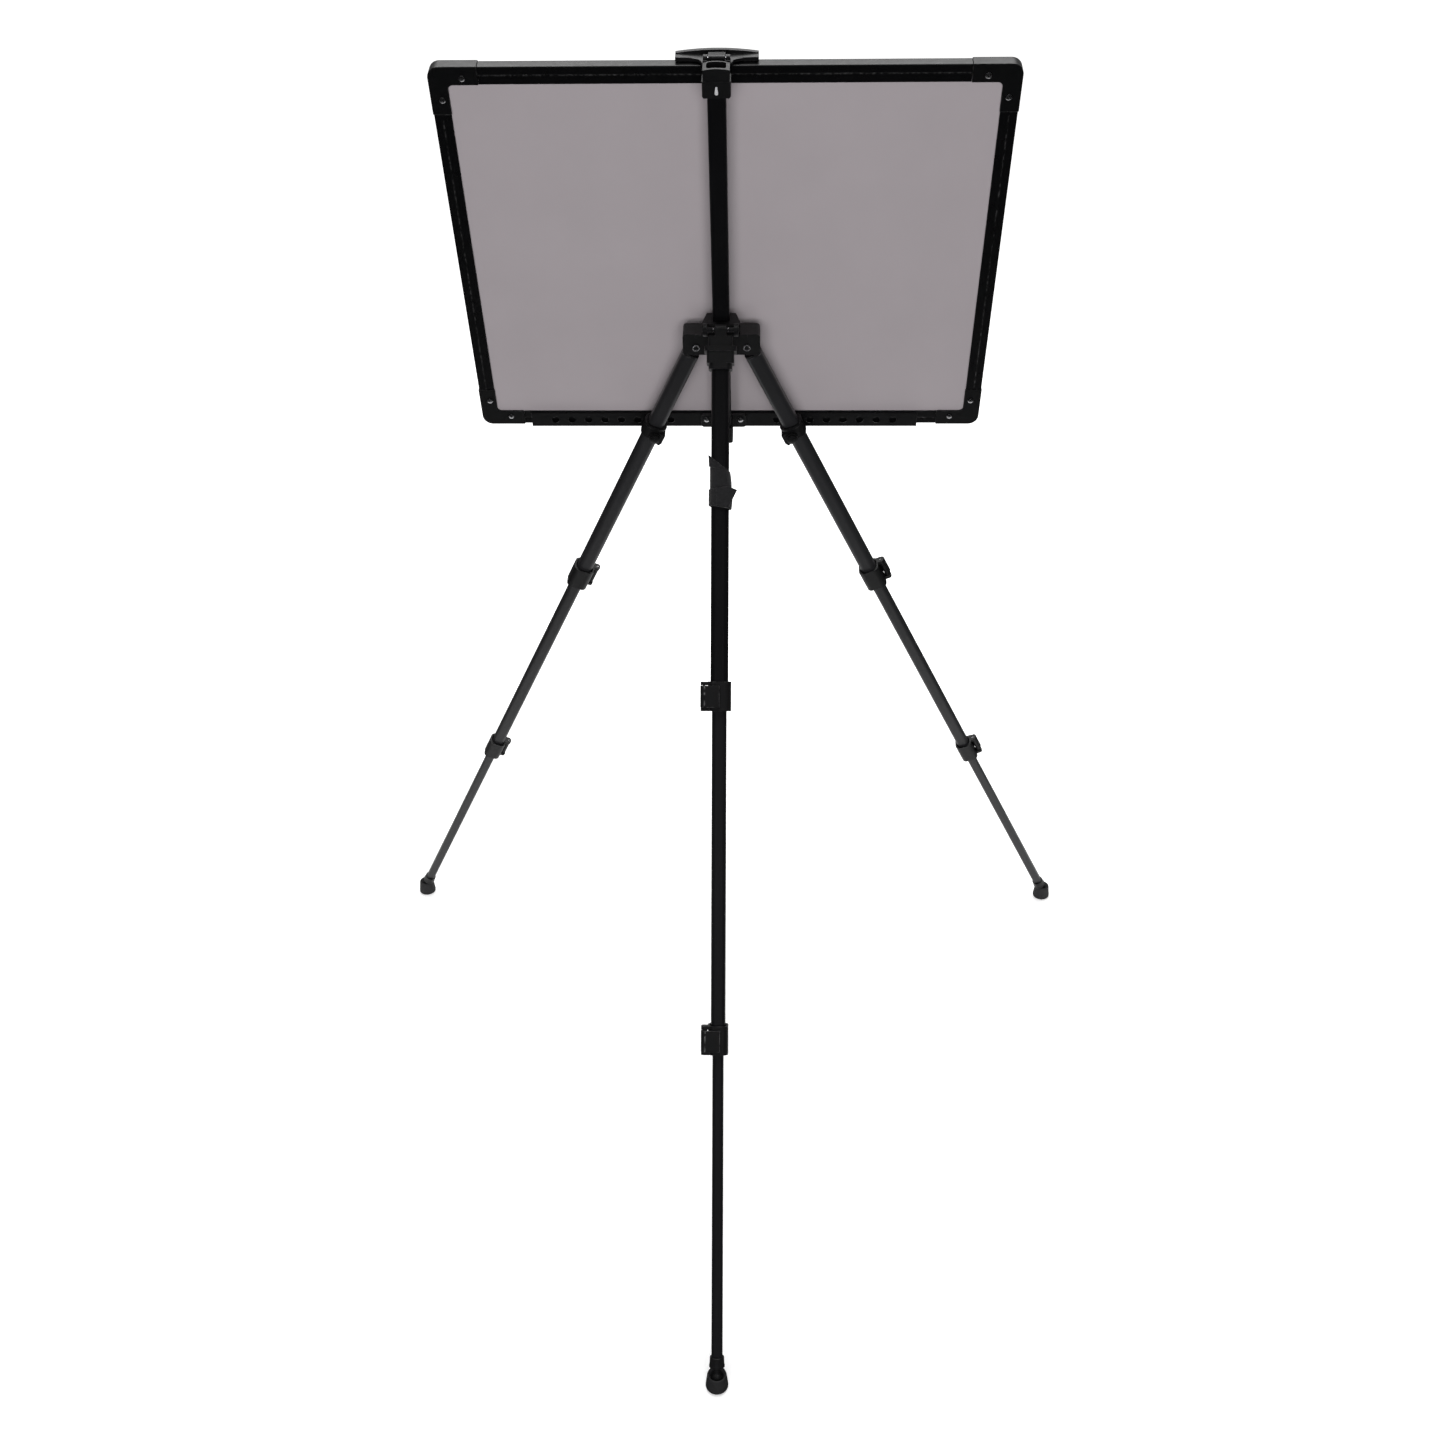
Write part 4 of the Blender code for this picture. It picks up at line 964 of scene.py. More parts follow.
@dataclass
class Hub(Assembly):
    """The block that carries the mast, the side legs and the rear hinge."""

    half_width: float = 0.0440
    back: float = 0.0120
    front: float = -0.0100
    top: float = 0.0178
    bottom: float = -0.0098
    corner: float = 0.0045
    boss_top: float = 0.0310
    boss_back_half: float = 0.0215
    boss_front_half: float = 0.0165
    plateau_half: float = 0.0297
    side_pivot: float = 0.029
    side_spread: float = math.radians(24.0)
    rear_y: float = 0.026
    rear_z: float = 0.034
    ear_inner: float = 0.0148
    ear_thick: float = 0.0050
    ear_radius: float = 0.0072
    pin_radius: float = 0.0025
    rivet_bore: float = 0.0021
    rivet_shank: float = 0.0027
    rivet_roll: float = 0.0007
    rivet_ring: float = 0.0036
    shade_disc_radius: float = 0.0029

    def block(self) -> Solid:
        """Draw the moulded block."""
        middle = (self.top + self.bottom) / 2
        tall = self.top - self.bottom
        outline = rounded_rectangle(2 * self.half_width, tall, self.corner, 6, (0.0, middle))
        block = Solid.prism(outline, self.front, self.back, "Y")
        plateau = rounded_rectangle(2 * self.plateau_half, 0.0058, 0.0012, 3, (0.0, 0.0149))
        shoulder = 0.0050
        front = self.front - 0.0004
        boss = [(-self.boss_back_half, self.back - 0.0002), (-self.boss_back_half, self.back - shoulder),
                (-self.boss_front_half, front), (self.boss_front_half, front),
                (self.boss_back_half, self.back - shoulder), (self.boss_back_half, self.back - 0.0002)]
        ears = []
        middle = self.ear_inner + self.ear_thick / 2
        for side in (-1, 1):
            ear = arc((self.rear_y, self.rear_z), self.ear_radius, -60, 120, 16)
            ear += [(self.back - 0.004, self.boss_top - 0.001), (self.back - 0.004, self.top - 0.006)]
            low = side * middle - self.ear_thick / 2
            ears.append(Solid.prism(ear, low, low + self.ear_thick, "X"))
        block.join(
            Solid.prism(plateau, self.back - 0.002, self.back + 0.0006, "Y"),
            Solid.prism(boss, self.bottom + 0.002, self.boss_top), *ears,
        )
        return block.cut(*self.openings()).soften(0.0007, 3)

    def openings(self) -> list[Solid]:
        """Return the cutters of the mast's bore, the two leg slots and the pin holes."""
        cutters = [MAST_SECTION.bore(0.0003, self.bottom - 0.01, self.boss_top + 0.01)]
        for side in (-1, 1):
            ends = sorted((side * (self.side_pivot - 0.0081),
                           side * (self.side_pivot + 0.0065 / math.cos(self.side_spread) + 0.0056)))
            cutters.append(Solid.box((ends[0], -0.0055, self.bottom - 0.01), (ends[1], 0.0055, 0.0082)))
            cutters.append(Solid.cylinder(0.0030, -0.03, 0.03, "Y", (side * self.side_pivot, 0.0)))
        cutters.append(Solid.cylinder(self.pin_radius + 0.0003, -0.04, 0.04, "X", (self.rear_y, self.rear_z)))
        return cutters

    def rivet(self, side: int) -> Solid:
        """Draw a tubular rivet with rolled ends.

        Args:
            side: +1 on +X, -1 on -X.

        Returns:
            The rivet.
        """
        bore, outer, roll, ring = self.rivet_bore, self.rivet_shank, self.rivet_roll, self.rivet_ring
        back, front = self.back, self.front
        profile = [(outer, back - 0.0003), (ring, back - 0.0002)]
        profile += arc((ring, back + 0.0005), roll, -60, 180, 9) + [(bore, back)]
        profile += [(bore, front)] + arc((ring, front - 0.0005), roll, 180, 420, 9)
        profile += [(ring, front + 0.0002), (outer, front + 0.0003)]
        return Solid.turned(profile, "Y", (side * self.side_pivot, 0.0), 40, comes_round=True)

    def rivet_shade_discs(self) -> Solid:
        """Draw dark cylinders that fill the two rivets' bores: painted shade for their hollow centres."""
        low, high = self.front - 0.0003, self.back + 0.0003
        right, left = (
            Solid.cylinder(self.shade_disc_radius, low, high, "Y", (side * self.side_pivot, 0.0), 0.0002)
            for side in (-1, 1)
        )
        return right.add(left)

    def build(self) -> None:
        """Make the block, the rivets and the rear pin."""
        self.show(self.block(), "hub_casting", MOULDED_PLASTIC, "hub_block")
        for prefix, side in (("right", 1), ("left", -1)):
            self.show(self.rivet(side), f"{prefix}_hub_rivet", BRIGHT_STEEL, f"{prefix}_leg_rivet")
        reach = self.ear_inner + self.ear_thick + 0.0008
        # Dark cylinders in the rivets' bores paint the shade of their hollow centres.
        self.show(self.rivet_shade_discs(), "hub_rivet_plugs", MOULDED_PLASTIC)
        pin = Solid.cylinder(self.pin_radius, -reach, reach, "X", (self.rear_y, self.rear_z), 0.0007)
        self.show(pin, "rear_pivot_pin", DARK_STEEL, "rear_hinge_pin")
        rings = [Solid.cylinder(self.pin_radius + 0.0003, *sorted((side * 0.0079, side * 0.0087)), "X",
                                (self.rear_y, self.rear_z), 0.0002) for side in (-1, 1)]
        self.show(rings[0].add(rings[1]), "rear_pin_rings", BRIGHT_STEEL)


@dataclass
class Mast(Assembly):
    """The centre tube."""

    def build(self) -> None:
        """Make the tube."""
        low, high = self.axes.extent(self.part.node("mast"))
        self.show(MAST_SECTION.tube(low.z, high.z), "mast_tube", PAINTED_TUBE, "mast")


@dataclass
class Ledge(Assembly):
    """The perforated ledge, its bracket on the mast's foot and its two screws."""

    length: float = 0.466
    sheet: float = 0.0012
    lip_height: float = 0.0080
    bend: float = 0.0016
    hole_radius: float = 0.0046
    hole_pitch: float = 0.0200
    hole_first: float = 0.0640
    hole_count: int = 8
    hole_height: float = 0.0105
    screw_x: float = 0.0203
    screw_z: float = 0.0140
    plate_half: float = 0.0270

    def profile(self, low: Vector, high: Vector) -> Outline:
        """Return the bent sheet's section.

        Args:
            low: The CAD ledge's lowest corner.
            high: Its highest corner.

        Returns:
            The outline in (y, z).
        """
        sheet, bend = self.sheet, self.bend
        inside = bend - sheet / 2
        front, back, floor, top = low.y, high.y, low.z, high.z
        outer = arc((back - bend, floor + bend), bend, 0, -90, 6)
        outer += arc((front + bend, floor + bend), bend, -90, -180, 6)
        lip = arc((front + sheet / 2, floor + self.lip_height), sheet / 2, 180, 0, 6)
        inner = arc((front + sheet + inside, floor + sheet + inside), inside, 180, 270, 4)
        inner += arc((back - sheet - inside, floor + sheet + inside), inside, -90, 0, 4)
        tip = arc((back - sheet / 2, top - sheet / 2), sheet / 2, 180, 0, 6)
        return outer + lip + inner + tip

    def tray(self, low: Vector, high: Vector) -> Solid:
        """Draw the bent and perforated sheet between two corners."""
        tray = Solid.prism(self.profile(low, high), -self.length / 2, self.length / 2, "X")
        holes = hole_row_tree().run(
            bpy.data.meshes.new("seed"), Count=self.hole_count, First=self.hole_first, Pitch=self.hole_pitch,
            Height=low.z + self.hole_height, Radius=self.hole_radius, Length=0.006,
            Finish=material_of(SHEET_PAINT),
        )
        holes.moved(Matrix.Translation((0.0, high.y - self.sheet / 2, 0.0)))
        return tray.cut(holes).soften(0.00028, 2, 40.0)

    def bracket(self, low: Vector, high: Vector) -> Solid:
        """Draw the bracket that holds the mast's foot, between two corners."""
        plate = rounded_rectangle(2 * self.plate_half, 0.0183, 0.0035, 6, (0.0, high.z - 0.00915))
        solid = Solid.prism(plate, low.y, low.y + 0.0034, "Y")
        mast_low = self.axes.extent(self.part.node("mast"))[0].z
        back, front = high.y, low.y + 0.001
        socket = rounded_rectangle(0.0228, back - front, 0.003, 6, (0.0, (back + front) / 2))
        solid.join(Solid.prism(socket, low.z + 0.0008, high.z - 0.003))
        solid.cut(MAST_SECTION.bore(0.0003, mast_low - 0.0003, high.z + 0.01))
        ribs = [Solid.box((side * 0.0165 - 0.0008, low.y + 0.001, high.z - 0.017),
                          (side * 0.0165 + 0.0008, low.y + 0.0046, high.z - 0.004)) for side in (-1, 1)]
        return solid.join(*ribs).soften(0.0005, 2)

    def build(self) -> None:
        """Make the sheet, the bracket and the screws."""
        low, high = self.axes.extent(self.part.node("ledge"))
        self.show(self.tray(low, high), "ledge_sheet", SHEET_PAINT, "ledge")
        box = self.axes.extent(self.part.node("mast_foot_bracket"))
        self.show(self.bracket(*box), "foot_bracket", MOULDED_PLASTIC, "mast_foot_bracket")
        head = ScrewHead(0.0034, 0.0019, 0.0008).solid()
        level = low.z + self.screw_z
        points = [Vector((side * self.screw_x, box[0].y + 0.0036, level)) for side in (-1, 1)]
        screws = scattered(head, points, Vector((0.0, 1.0, 0.0)), BRIGHT_STEEL, 3)
        self.show(screws, "ledge_screws", BRIGHT_STEEL, "right_ledge_screw", "left_ledge_screw")


@dataclass
class Board(Assembly):
    """The framed board; its frame's origin is at the middle of the board's lower back edge."""

    width: float = 0.600
    height: float = 0.450
    thick: float = 0.0150
    rail_width: float = 0.0190
    inset: float = 0.0006
    slot_depth: float = 0.0070
    sheet_recess: float = 0.0026
    sheet_thick: float = 0.0012
    face_recess: float = 0.0016
    face_thick: float = 0.0060
    groove: float = 0.0005
    cap_arm: float = 0.0510
    cap_radius: float = 0.0120
    screw_far: float = 0.0350
    screw_near: float = 0.0120

    def rail_profile(self) -> Outline:
        """Return a rail's section: the distance in from the board's edge, and y."""
        inset, inner = self.inset, self.rail_width
        front = -self.thick + inset
        slot_back, slot_front = -self.sheet_recess + 0.0003, -self.thick + self.face_recess - 0.0003
        deep, middle = inner - self.slot_depth, inner / 2
        points = arc((inset + 0.0016, front + 0.0016), 0.0016, 180, 270, 5)
        points += [(inner, front), (inner, slot_front), (deep, slot_front)]
        points += [(deep, slot_back), (inner, slot_back)]
        points += [(inner, -inset), (middle + self.groove, -inset), (middle, -inset - self.groove)]
        points += [(middle - self.groove, -inset)]
        points += arc((inset + 0.0016, -inset - 0.0016), 0.0016, 90, 180, 5)
        return points

    def rails(self) -> None:
        """Make the four rails."""
        half = self.width / 2
        end = half - self.cap_arm - 0.0003
        profile = self.rail_profile()
        low, high = self.cap_arm + 0.0003, self.height - self.cap_arm - 0.0003
        drawn = {
            "bottom": ([(y, across) for across, y in profile], -end, end, "X"),
            "top": ([(y, self.height - across) for across, y in profile], -end, end, "X"),
            "right": ([(half - across, y) for across, y in profile], low, high, "Z"),
            "left": ([(across - half, y) for across, y in profile], low, high, "Z"),
        }
        for side, (outline, start, stop, axis) in drawn.items():
            rail = Solid.prism(outline, start, stop, axis).soften(0.0002, 1, 30.0)
            self.show(rail, f"{side}_rail_extrusion", FRAME_PAINT, f"{side}_rail")

    def caps(self) -> None:
        """Make the four corner caps."""
        half, arm, edge = self.width / 2, self.cap_arm, self.rail_width + 0.0006
        inner = self.rail_width - self.slot_depth
        for name, side, top in (("top_right", 1, True), ("top_left", -1, True), ("bottom_right", 1, False),
                                ("bottom_left", -1, False)):
            outline = [(0.0, arm)] + arc((self.cap_radius, self.cap_radius), self.cap_radius, 180, 270, 12)
            outline += [(arm, 0.0), (arm, edge)] + arc((edge + 0.005, edge + 0.005), 0.005, 270, 180, 8)
            outline += [(edge, arm)]
            outline = [(side * (half - x), self.height - z if top else z) for x, z in outline]
            cap = Solid.prism(outline, -self.thick, 0.0, "Y")
            levels = sorted((self.height - inner, 0.1) if top else (inner, 0.3))
            ends = sorted((side * (half - inner), 0.0))
            slot = Solid.box(
                (ends[0], -self.thick + self.face_recess - 0.0003, levels[0]),
                (ends[1], -self.sheet_recess + 0.0003, levels[1]),
            )
            cap.cut(slot).soften(0.0009, 3)
            self.show(cap, f"{name}_corner_cap", CAP_PLASTIC, f"{name}_cap")

    def panels(self) -> None:
        """Make the back sheet and the writing face."""
        inset = self.rail_width - self.slot_depth + 0.0003
        half = self.width / 2 - inset
        back = Solid.box((-half, -self.sheet_recess - self.sheet_thick, inset),
                         (half, -self.sheet_recess, self.height - inset)).soften(0.0002, 1)
        self.show(back, "back_sheet", BACK_COATING, "back_panel")
        front = -self.thick + self.face_recess
        face = Solid.box((-half, front, inset), (half, front + self.face_thick, self.height - inset))
        self.show(face.soften(0.0003, 1), "writing_sheet", WRITING_FACE, "writing_panel")

    def screws(self) -> None:
        """Make the caps' eight screws."""
        points = []
        for side in (-1, 1):
            for top in (False, True):
                for x, z in ((self.screw_far, self.screw_near), (self.screw_near, self.screw_far)):
                    level = self.height - z if top else z
                    points.append(Vector((side * (self.width / 2 - x), 0.0, level)))
        head = ScrewHead(0.0032, 0.0014).solid()
        made = scattered(head, points, Vector((0.0, 1.0, 0.0)), BRIGHT_STEEL, 11)
        self.show(made, "corner_screws", BRIGHT_STEEL)

    def build(self) -> None:
        """Make every piece of the board."""
        self.rails()
        self.caps()
        self.panels()
        self.screws()


@dataclass
class TopClamp(Assembly):
    """The clamp on the mast's head: sleeve, hinge pin, lock slot and hinged jaw."""

    half: float = 0.0145
    upper_half: float = 0.0135
    step_z: float = 0.3130
    arch: float = 0.0014
    stem_half: float = 0.0135
    jaw_half: float = 0.0420
    hinge_y: float = -0.0210
    hinge_z: float = 0.3222
    pin_radius: float = 0.0016
    jaw_front: float = -0.0395
    jaw_back: float = -0.0275
    gusset_half: float = 0.0210

    def sleeve(self, low: Vector, high: Vector, board_top: float) -> Solid:
        """Draw the sleeve with its stem and hinge posts.

        Args:
            low: The CAD sleeve's lowest corner.
            high: Its highest corner.
            board_top: The level of the board's top edge.

        Returns:
            The moulded sleeve.
        """
        back, front = high.y, -0.0090
        depth, middle = back - front, (back + front) / 2
        lower = rounded_rectangle(2 * self.half, depth, 0.0026, 5, (0.0, middle))
        sleeve = Solid.prism(lower, low.z, self.step_z)
        top = [(-self.upper_half, high.z - self.arch - 0.0008)]
        top += [(self.upper_half * t, high.z - self.arch * t * t)
                for t in (-1, -0.66, -0.33, 0, 0.33, 0.66, 1)]
        top += [(self.upper_half, high.z - self.arch - 0.0008), (self.upper_half, self.step_z - 0.001)]
        top += [(-self.upper_half, self.step_z - 0.001)]
        stem_low = board_top + 0.0005
        stem = [(front + 0.0010, high.z - 0.0300), (front + 0.0010, high.z),
                (self.hinge_y + 0.0050, self.hinge_z + 0.0005), (self.hinge_y + 0.0050, stem_low),
                (-0.0190, stem_low), (-0.0190, low.z + 0.0080)]
        posts = []
        for side in (-1, 1):
            start = side * (self.stem_half - 0.0022) - 0.0022
            post = arc((self.hinge_y, self.hinge_z), 0.0038, 0, 180, 12)
            post += [(self.hinge_y - 0.0038, stem_low), (self.hinge_y + 0.0080, stem_low)]
            post += [(self.hinge_y + 0.0080, self.hinge_z)]
            posts.append(Solid.prism(post, start, start + 0.0044, "X"))
        sleeve.join(Solid.prism(top, front, back - 0.0006, "Y"),
                    Solid.prism(stem, -self.stem_half, self.stem_half, "X"), *posts)
        recess = rounded_rectangle(0.0182, 0.0050, 0.0010, 3, (0.0, high.z - 0.0014))
        corner = [(self.half - 0.0022, low.z - 0.001), (self.half + 0.001, low.z - 0.001),
                  (self.half + 0.001, low.z + 0.0022)]
        sleeve.cut(
            MAST_SECTION.bore(0.0003, low.z - 0.01, high.z + 0.01),
            Solid.cylinder(self.pin_radius + 0.0003, -0.05, 0.05, "X", (self.hinge_y, self.hinge_z)),
            Solid.prism(recess, -0.0152, -0.0078, "Y"),
            Solid.prism(corner, front - 0.001, back + 0.001, "Y"),
            Solid.prism(flip(corner, -1, 1), front - 0.001, back + 0.001, "Y"),
            Solid.prism(self.slot_outline(low.z, 0.0005), back - 0.0012, back + 0.001, "Y"),
        )
        return sleeve.soften(0.0005, 2)

    def slot_outline(self, floor: float, grow: float = 0.0) -> Outline:
        """Return the teardrop outline of the lock's slot above the sleeve's lower edge."""
        points = arc((0.0, floor + 0.0050), 0.0019 + grow, 150, 390, 14)
        return points + arc((0.0, floor + 0.0108), 0.0011 + grow, 20, 160, 8)

    def lock(self, low: Vector, high: Vector) -> Solid:
        """Draw the lock screw's bright slot between two corners."""
        plate = Solid.prism(self.slot_outline(low.z), high.y - 0.0011, high.y - 0.0001, "Y").soften(0.0003, 2)
        centre = (0.0, low.z + 0.0050)
        screw = Solid.cylinder(0.0013, high.y - 0.0007, high.y + 0.0005, "Y", centre, 0.0003, 24)
        return plate.join(screw)

    def jaw(self, board_top: float, lip_back: float) -> Solid:
        """Draw the arched jaw with its lip, knuckle and gussets.

        Args:
            board_top: The level of the board's top edge.
            lip_back: The y of the lip's gripping face.

        Returns:
            The moulded jaw.
        """
        base, crown = board_top + 0.0005, self.hinge_z + 0.0020
        wing = [(self.jaw_half * t / 12, crown - 0.0032 * (t / 12) ** 2) for t in range(-12, 13)]
        wing += [(self.jaw_half, base), (-self.jaw_half, base)]
        step = crown - 0.0046
        shelf = [(-self.jaw_half, base), (self.jaw_half, base), (self.jaw_half, step + 0.0006), (0.018, step),
                 (-0.018, step), (-self.jaw_half, step + 0.0006)]
        jaw = Solid.prism(wing, self.jaw_front, self.jaw_front + 0.0042, "Y")
        jaw.join(Solid.prism(shelf, self.jaw_front + 0.001, self.jaw_back, "Y"))
        lip = rounded_rectangle(2 * self.jaw_half, 0.0140, 0.0035, 6, (0.0, base - 0.0050))
        knuckle_half = self.stem_half - 0.0049
        knuckle = arc((self.hinge_y, self.hinge_z), 0.0034, -90, 90, 12)
        reach = self.jaw_back - 0.003
        knuckle += [(reach, self.hinge_z + 0.0018), (reach, self.hinge_z - 0.0034)]
        extras = [Solid.prism(lip, self.jaw_front, lip_back, "Y"),
                  Solid.prism(knuckle, -knuckle_half, knuckle_half, "X")]
        inner, outer = self.stem_half + 0.0004, self.gusset_half
        for side in (-1, 1):
            fillet = [(inner, self.jaw_back - 0.001), (inner, self.hinge_y + 0.0036)]
            fillet += arc((outer + 0.002, self.hinge_y + 0.0030), outer - inner + 0.0005, 180, 262, 10)
            fillet += [(outer + 0.008, self.jaw_back - 0.001)]
            extras.append(Solid.prism(flip(fillet, side, 1), base + 0.0006, step))
        jaw.join(*extras)
        jaw.cut(Solid.cylinder(self.pin_radius + 0.0003, -0.02, 0.02, "X", (self.hinge_y, self.hinge_z)))
        return jaw.soften(0.0007, 3)

    def build(self) -> None:
        """Make the sleeve, the pin, the lock and the jaw."""
        low, high = self.axes.extent(self.part.node("clamp_sleeve"))
        board_top = self.axes.extent(self.part.node("top_rail"))[1].z + 0.0006
        board_front = self.axes.extent(self.part.node("top_left_cap"))[0].y
        self.show(self.sleeve(low, high, board_top), "clamp_body", MOULDED_PLASTIC, "clamp_sleeve")
        end = self.stem_half + 0.0003
        hinge = (self.hinge_y, self.hinge_z)
        pin = Solid.cylinder(self.pin_radius, -end, end, "X", hinge, 0.0004, 24)
        self.show(pin, "clamp_pivot_pin", BRIGHT_STEEL, "clamp_hinge_pin")
        self.show(self.lock(low, high), "clamp_lock_slot", PALE_LOCK, "clamp_screw")
        jaw = self.jaw(board_top, board_front - 0.0005)
        self.show(jaw, "clamp_wing_jaw", MOULDED_PLASTIC, "clamp_jaw", body="clamp_jaw")


@dataclass
class FlipLock(Assembly):
    """A lock that clamps one leg section on the next, and its cam lever."""

    prefix: str = ""
    place: str = "upper"
    half: float = 0.0165
    wall: float = 0.0030
    ear_reach: float = 0.0076
    ear_thick: float = 0.0040
    ear_depth: float = 0.0094
    step: float = 0.0020
    barrel_radius: float = 0.0033
    barrel_drop: float = 0.0062
    lever_thick: float = 0.0026
    lever_reach: float = 0.0180
    pin_radius: float = 0.0013

    def __post_init__(self) -> None:
        """Find the lock's level and the side its lever is on."""
        pivot = self.axes.local(self.part.place(f"{self.prefix}_{self.place}_lever_flip"))
        self.level = pivot.z
        self.turn = 1 if pivot.x > 0 else -1
        self.section = 0 if self.place == "upper" else 1
        upper = TUBE_SECTIONS[self.section]
        self.half_width = upper.width / 2 + 0.0003 + self.wall
        self.half_depth = upper.depth / 2 + 0.0003 + self.wall
        self.barrel_x = self.half_width + 0.0006 + self.barrel_radius
        self.barrel_y = self.half_depth - self.barrel_drop

    def placed(self, solid: Solid) -> Solid:
        """Turn and move a body, drawn with its lever on +X and +Y, to its place on the leg."""
        spin = Matrix.Rotation(0.0 if self.turn > 0 else math.pi, 4, "Z")
        return solid.moved(Matrix.Translation((0.0, 0.0, self.level)) @ spin)

    def housing(self) -> Solid:
        """Draw the housing with its two ears."""
        outline = rounded_rectangle(2 * self.half_width, 2 * self.half_depth, 0.0070, 10)
        solid = Solid.prism(outline, -self.half, self.half)
        low, high = self.half_width - 0.0040, self.half_width + self.ear_reach
        ear = rounded_rectangle(high - low, self.ear_depth, 0.0032, 6, ((low + high) / 2, self.barrel_y))
        ends = ((-self.half, -self.half + self.ear_thick), (self.half - self.ear_thick, self.half))
        upper, lower = TUBE_SECTIONS[self.section], TUBE_SECTIONS[self.section + 1]
        mouth = [[Vector((x, y, level)) for x, y in upper.outline(grow)]
                 for grow, level in ((0.0003, self.half - 0.0040), (0.0015, self.half - 0.0003),
                                     (0.0015, self.half + 0.001))]
        window = Solid.box((self.half_width - 0.0006, -self.half_depth + 0.0052, -self.half + self.ear_thick),
                           (self.half_width + 0.01, self.half_depth + 0.001, self.half - self.ear_thick))
        solid.join(*(Solid.prism(ear, *pair) for pair in ends))
        solid.cut(
            upper.bore(0.0003, -self.step, self.half + 0.001),
            lower.bore(0.0003, -self.half - 0.001, -self.step + 0.001),
            Solid.loft(mouth), window,
            Solid.cylinder(self.pin_radius, -0.02, 0.02, "Z", (self.barrel_x, self.barrel_y), segments=24),
        )
        return solid.soften(0.0006, 3)

    def lever(self) -> Solid:
        """Draw the lever round its pivot, with its finger tip and a groove beside the cam."""
        inner_y = self.barrel_drop + 0.0004
        outer_y = inner_y + self.lever_thick
        reach = self.lever_reach
        points = [(-reach, inner_y), (-0.0012, inner_y), (-0.0012, 0.0030)]
        points += arc((0.0, 0.0), self.barrel_radius, 125, 350, 18)
        points += [(0.0038, outer_y - 0.0040)]
        points += arc((0.0003, outer_y - 0.0035), 0.0035, 15, 90, 8)
        points += [(-0.0004, outer_y), (-0.0007, outer_y - 0.0005)]
        points += [(-0.0012, outer_y - 0.0005), (-0.0015, outer_y)]
        points += [(0.0014 - reach, outer_y + 0.0003), (0.0006 - reach, outer_y), (-reach, outer_y - 0.0008)]
        half = self.half - self.ear_thick - 0.0004
        lever = Solid.prism(points, -half, half)
        bore = Solid.cylinder(self.pin_radius + 0.0002, -0.02, 0.02, segments=24)
        return lever.cut(bore).soften(0.0005, 3)

    def build(self) -> None:
        """Make the housing, the lever and its roll pin."""
        name = f"{self.prefix}_{self.place}"
        self.show(self.placed(self.housing()), f"{name}_lock_housing", MOULDED_PLASTIC, f"{name}_lock")
        centre = Matrix.Translation((self.barrel_x, self.barrel_y, 0.0))
        lever = self.placed(self.lever().moved(centre))
        self.show(lever, f"{name}_cam_lever", MOULDED_PLASTIC, f"{name}_lever", body=f"{name}_lock_lever")
        half, radius, bore = self.half - 0.0002, self.pin_radius - 0.00005, 0.0007
        profile = [(bore, -half), (radius - 0.0003, -half), (radius, -half + 0.0004), (radius, half - 0.0004),
                   (radius - 0.0003, half), (bore, half)]
        pin = Solid.turned(profile, segments=24, comes_round=True).moved(centre)
        self.show(self.placed(pin), f"{name}_lever_pin", BRIGHT_STEEL)


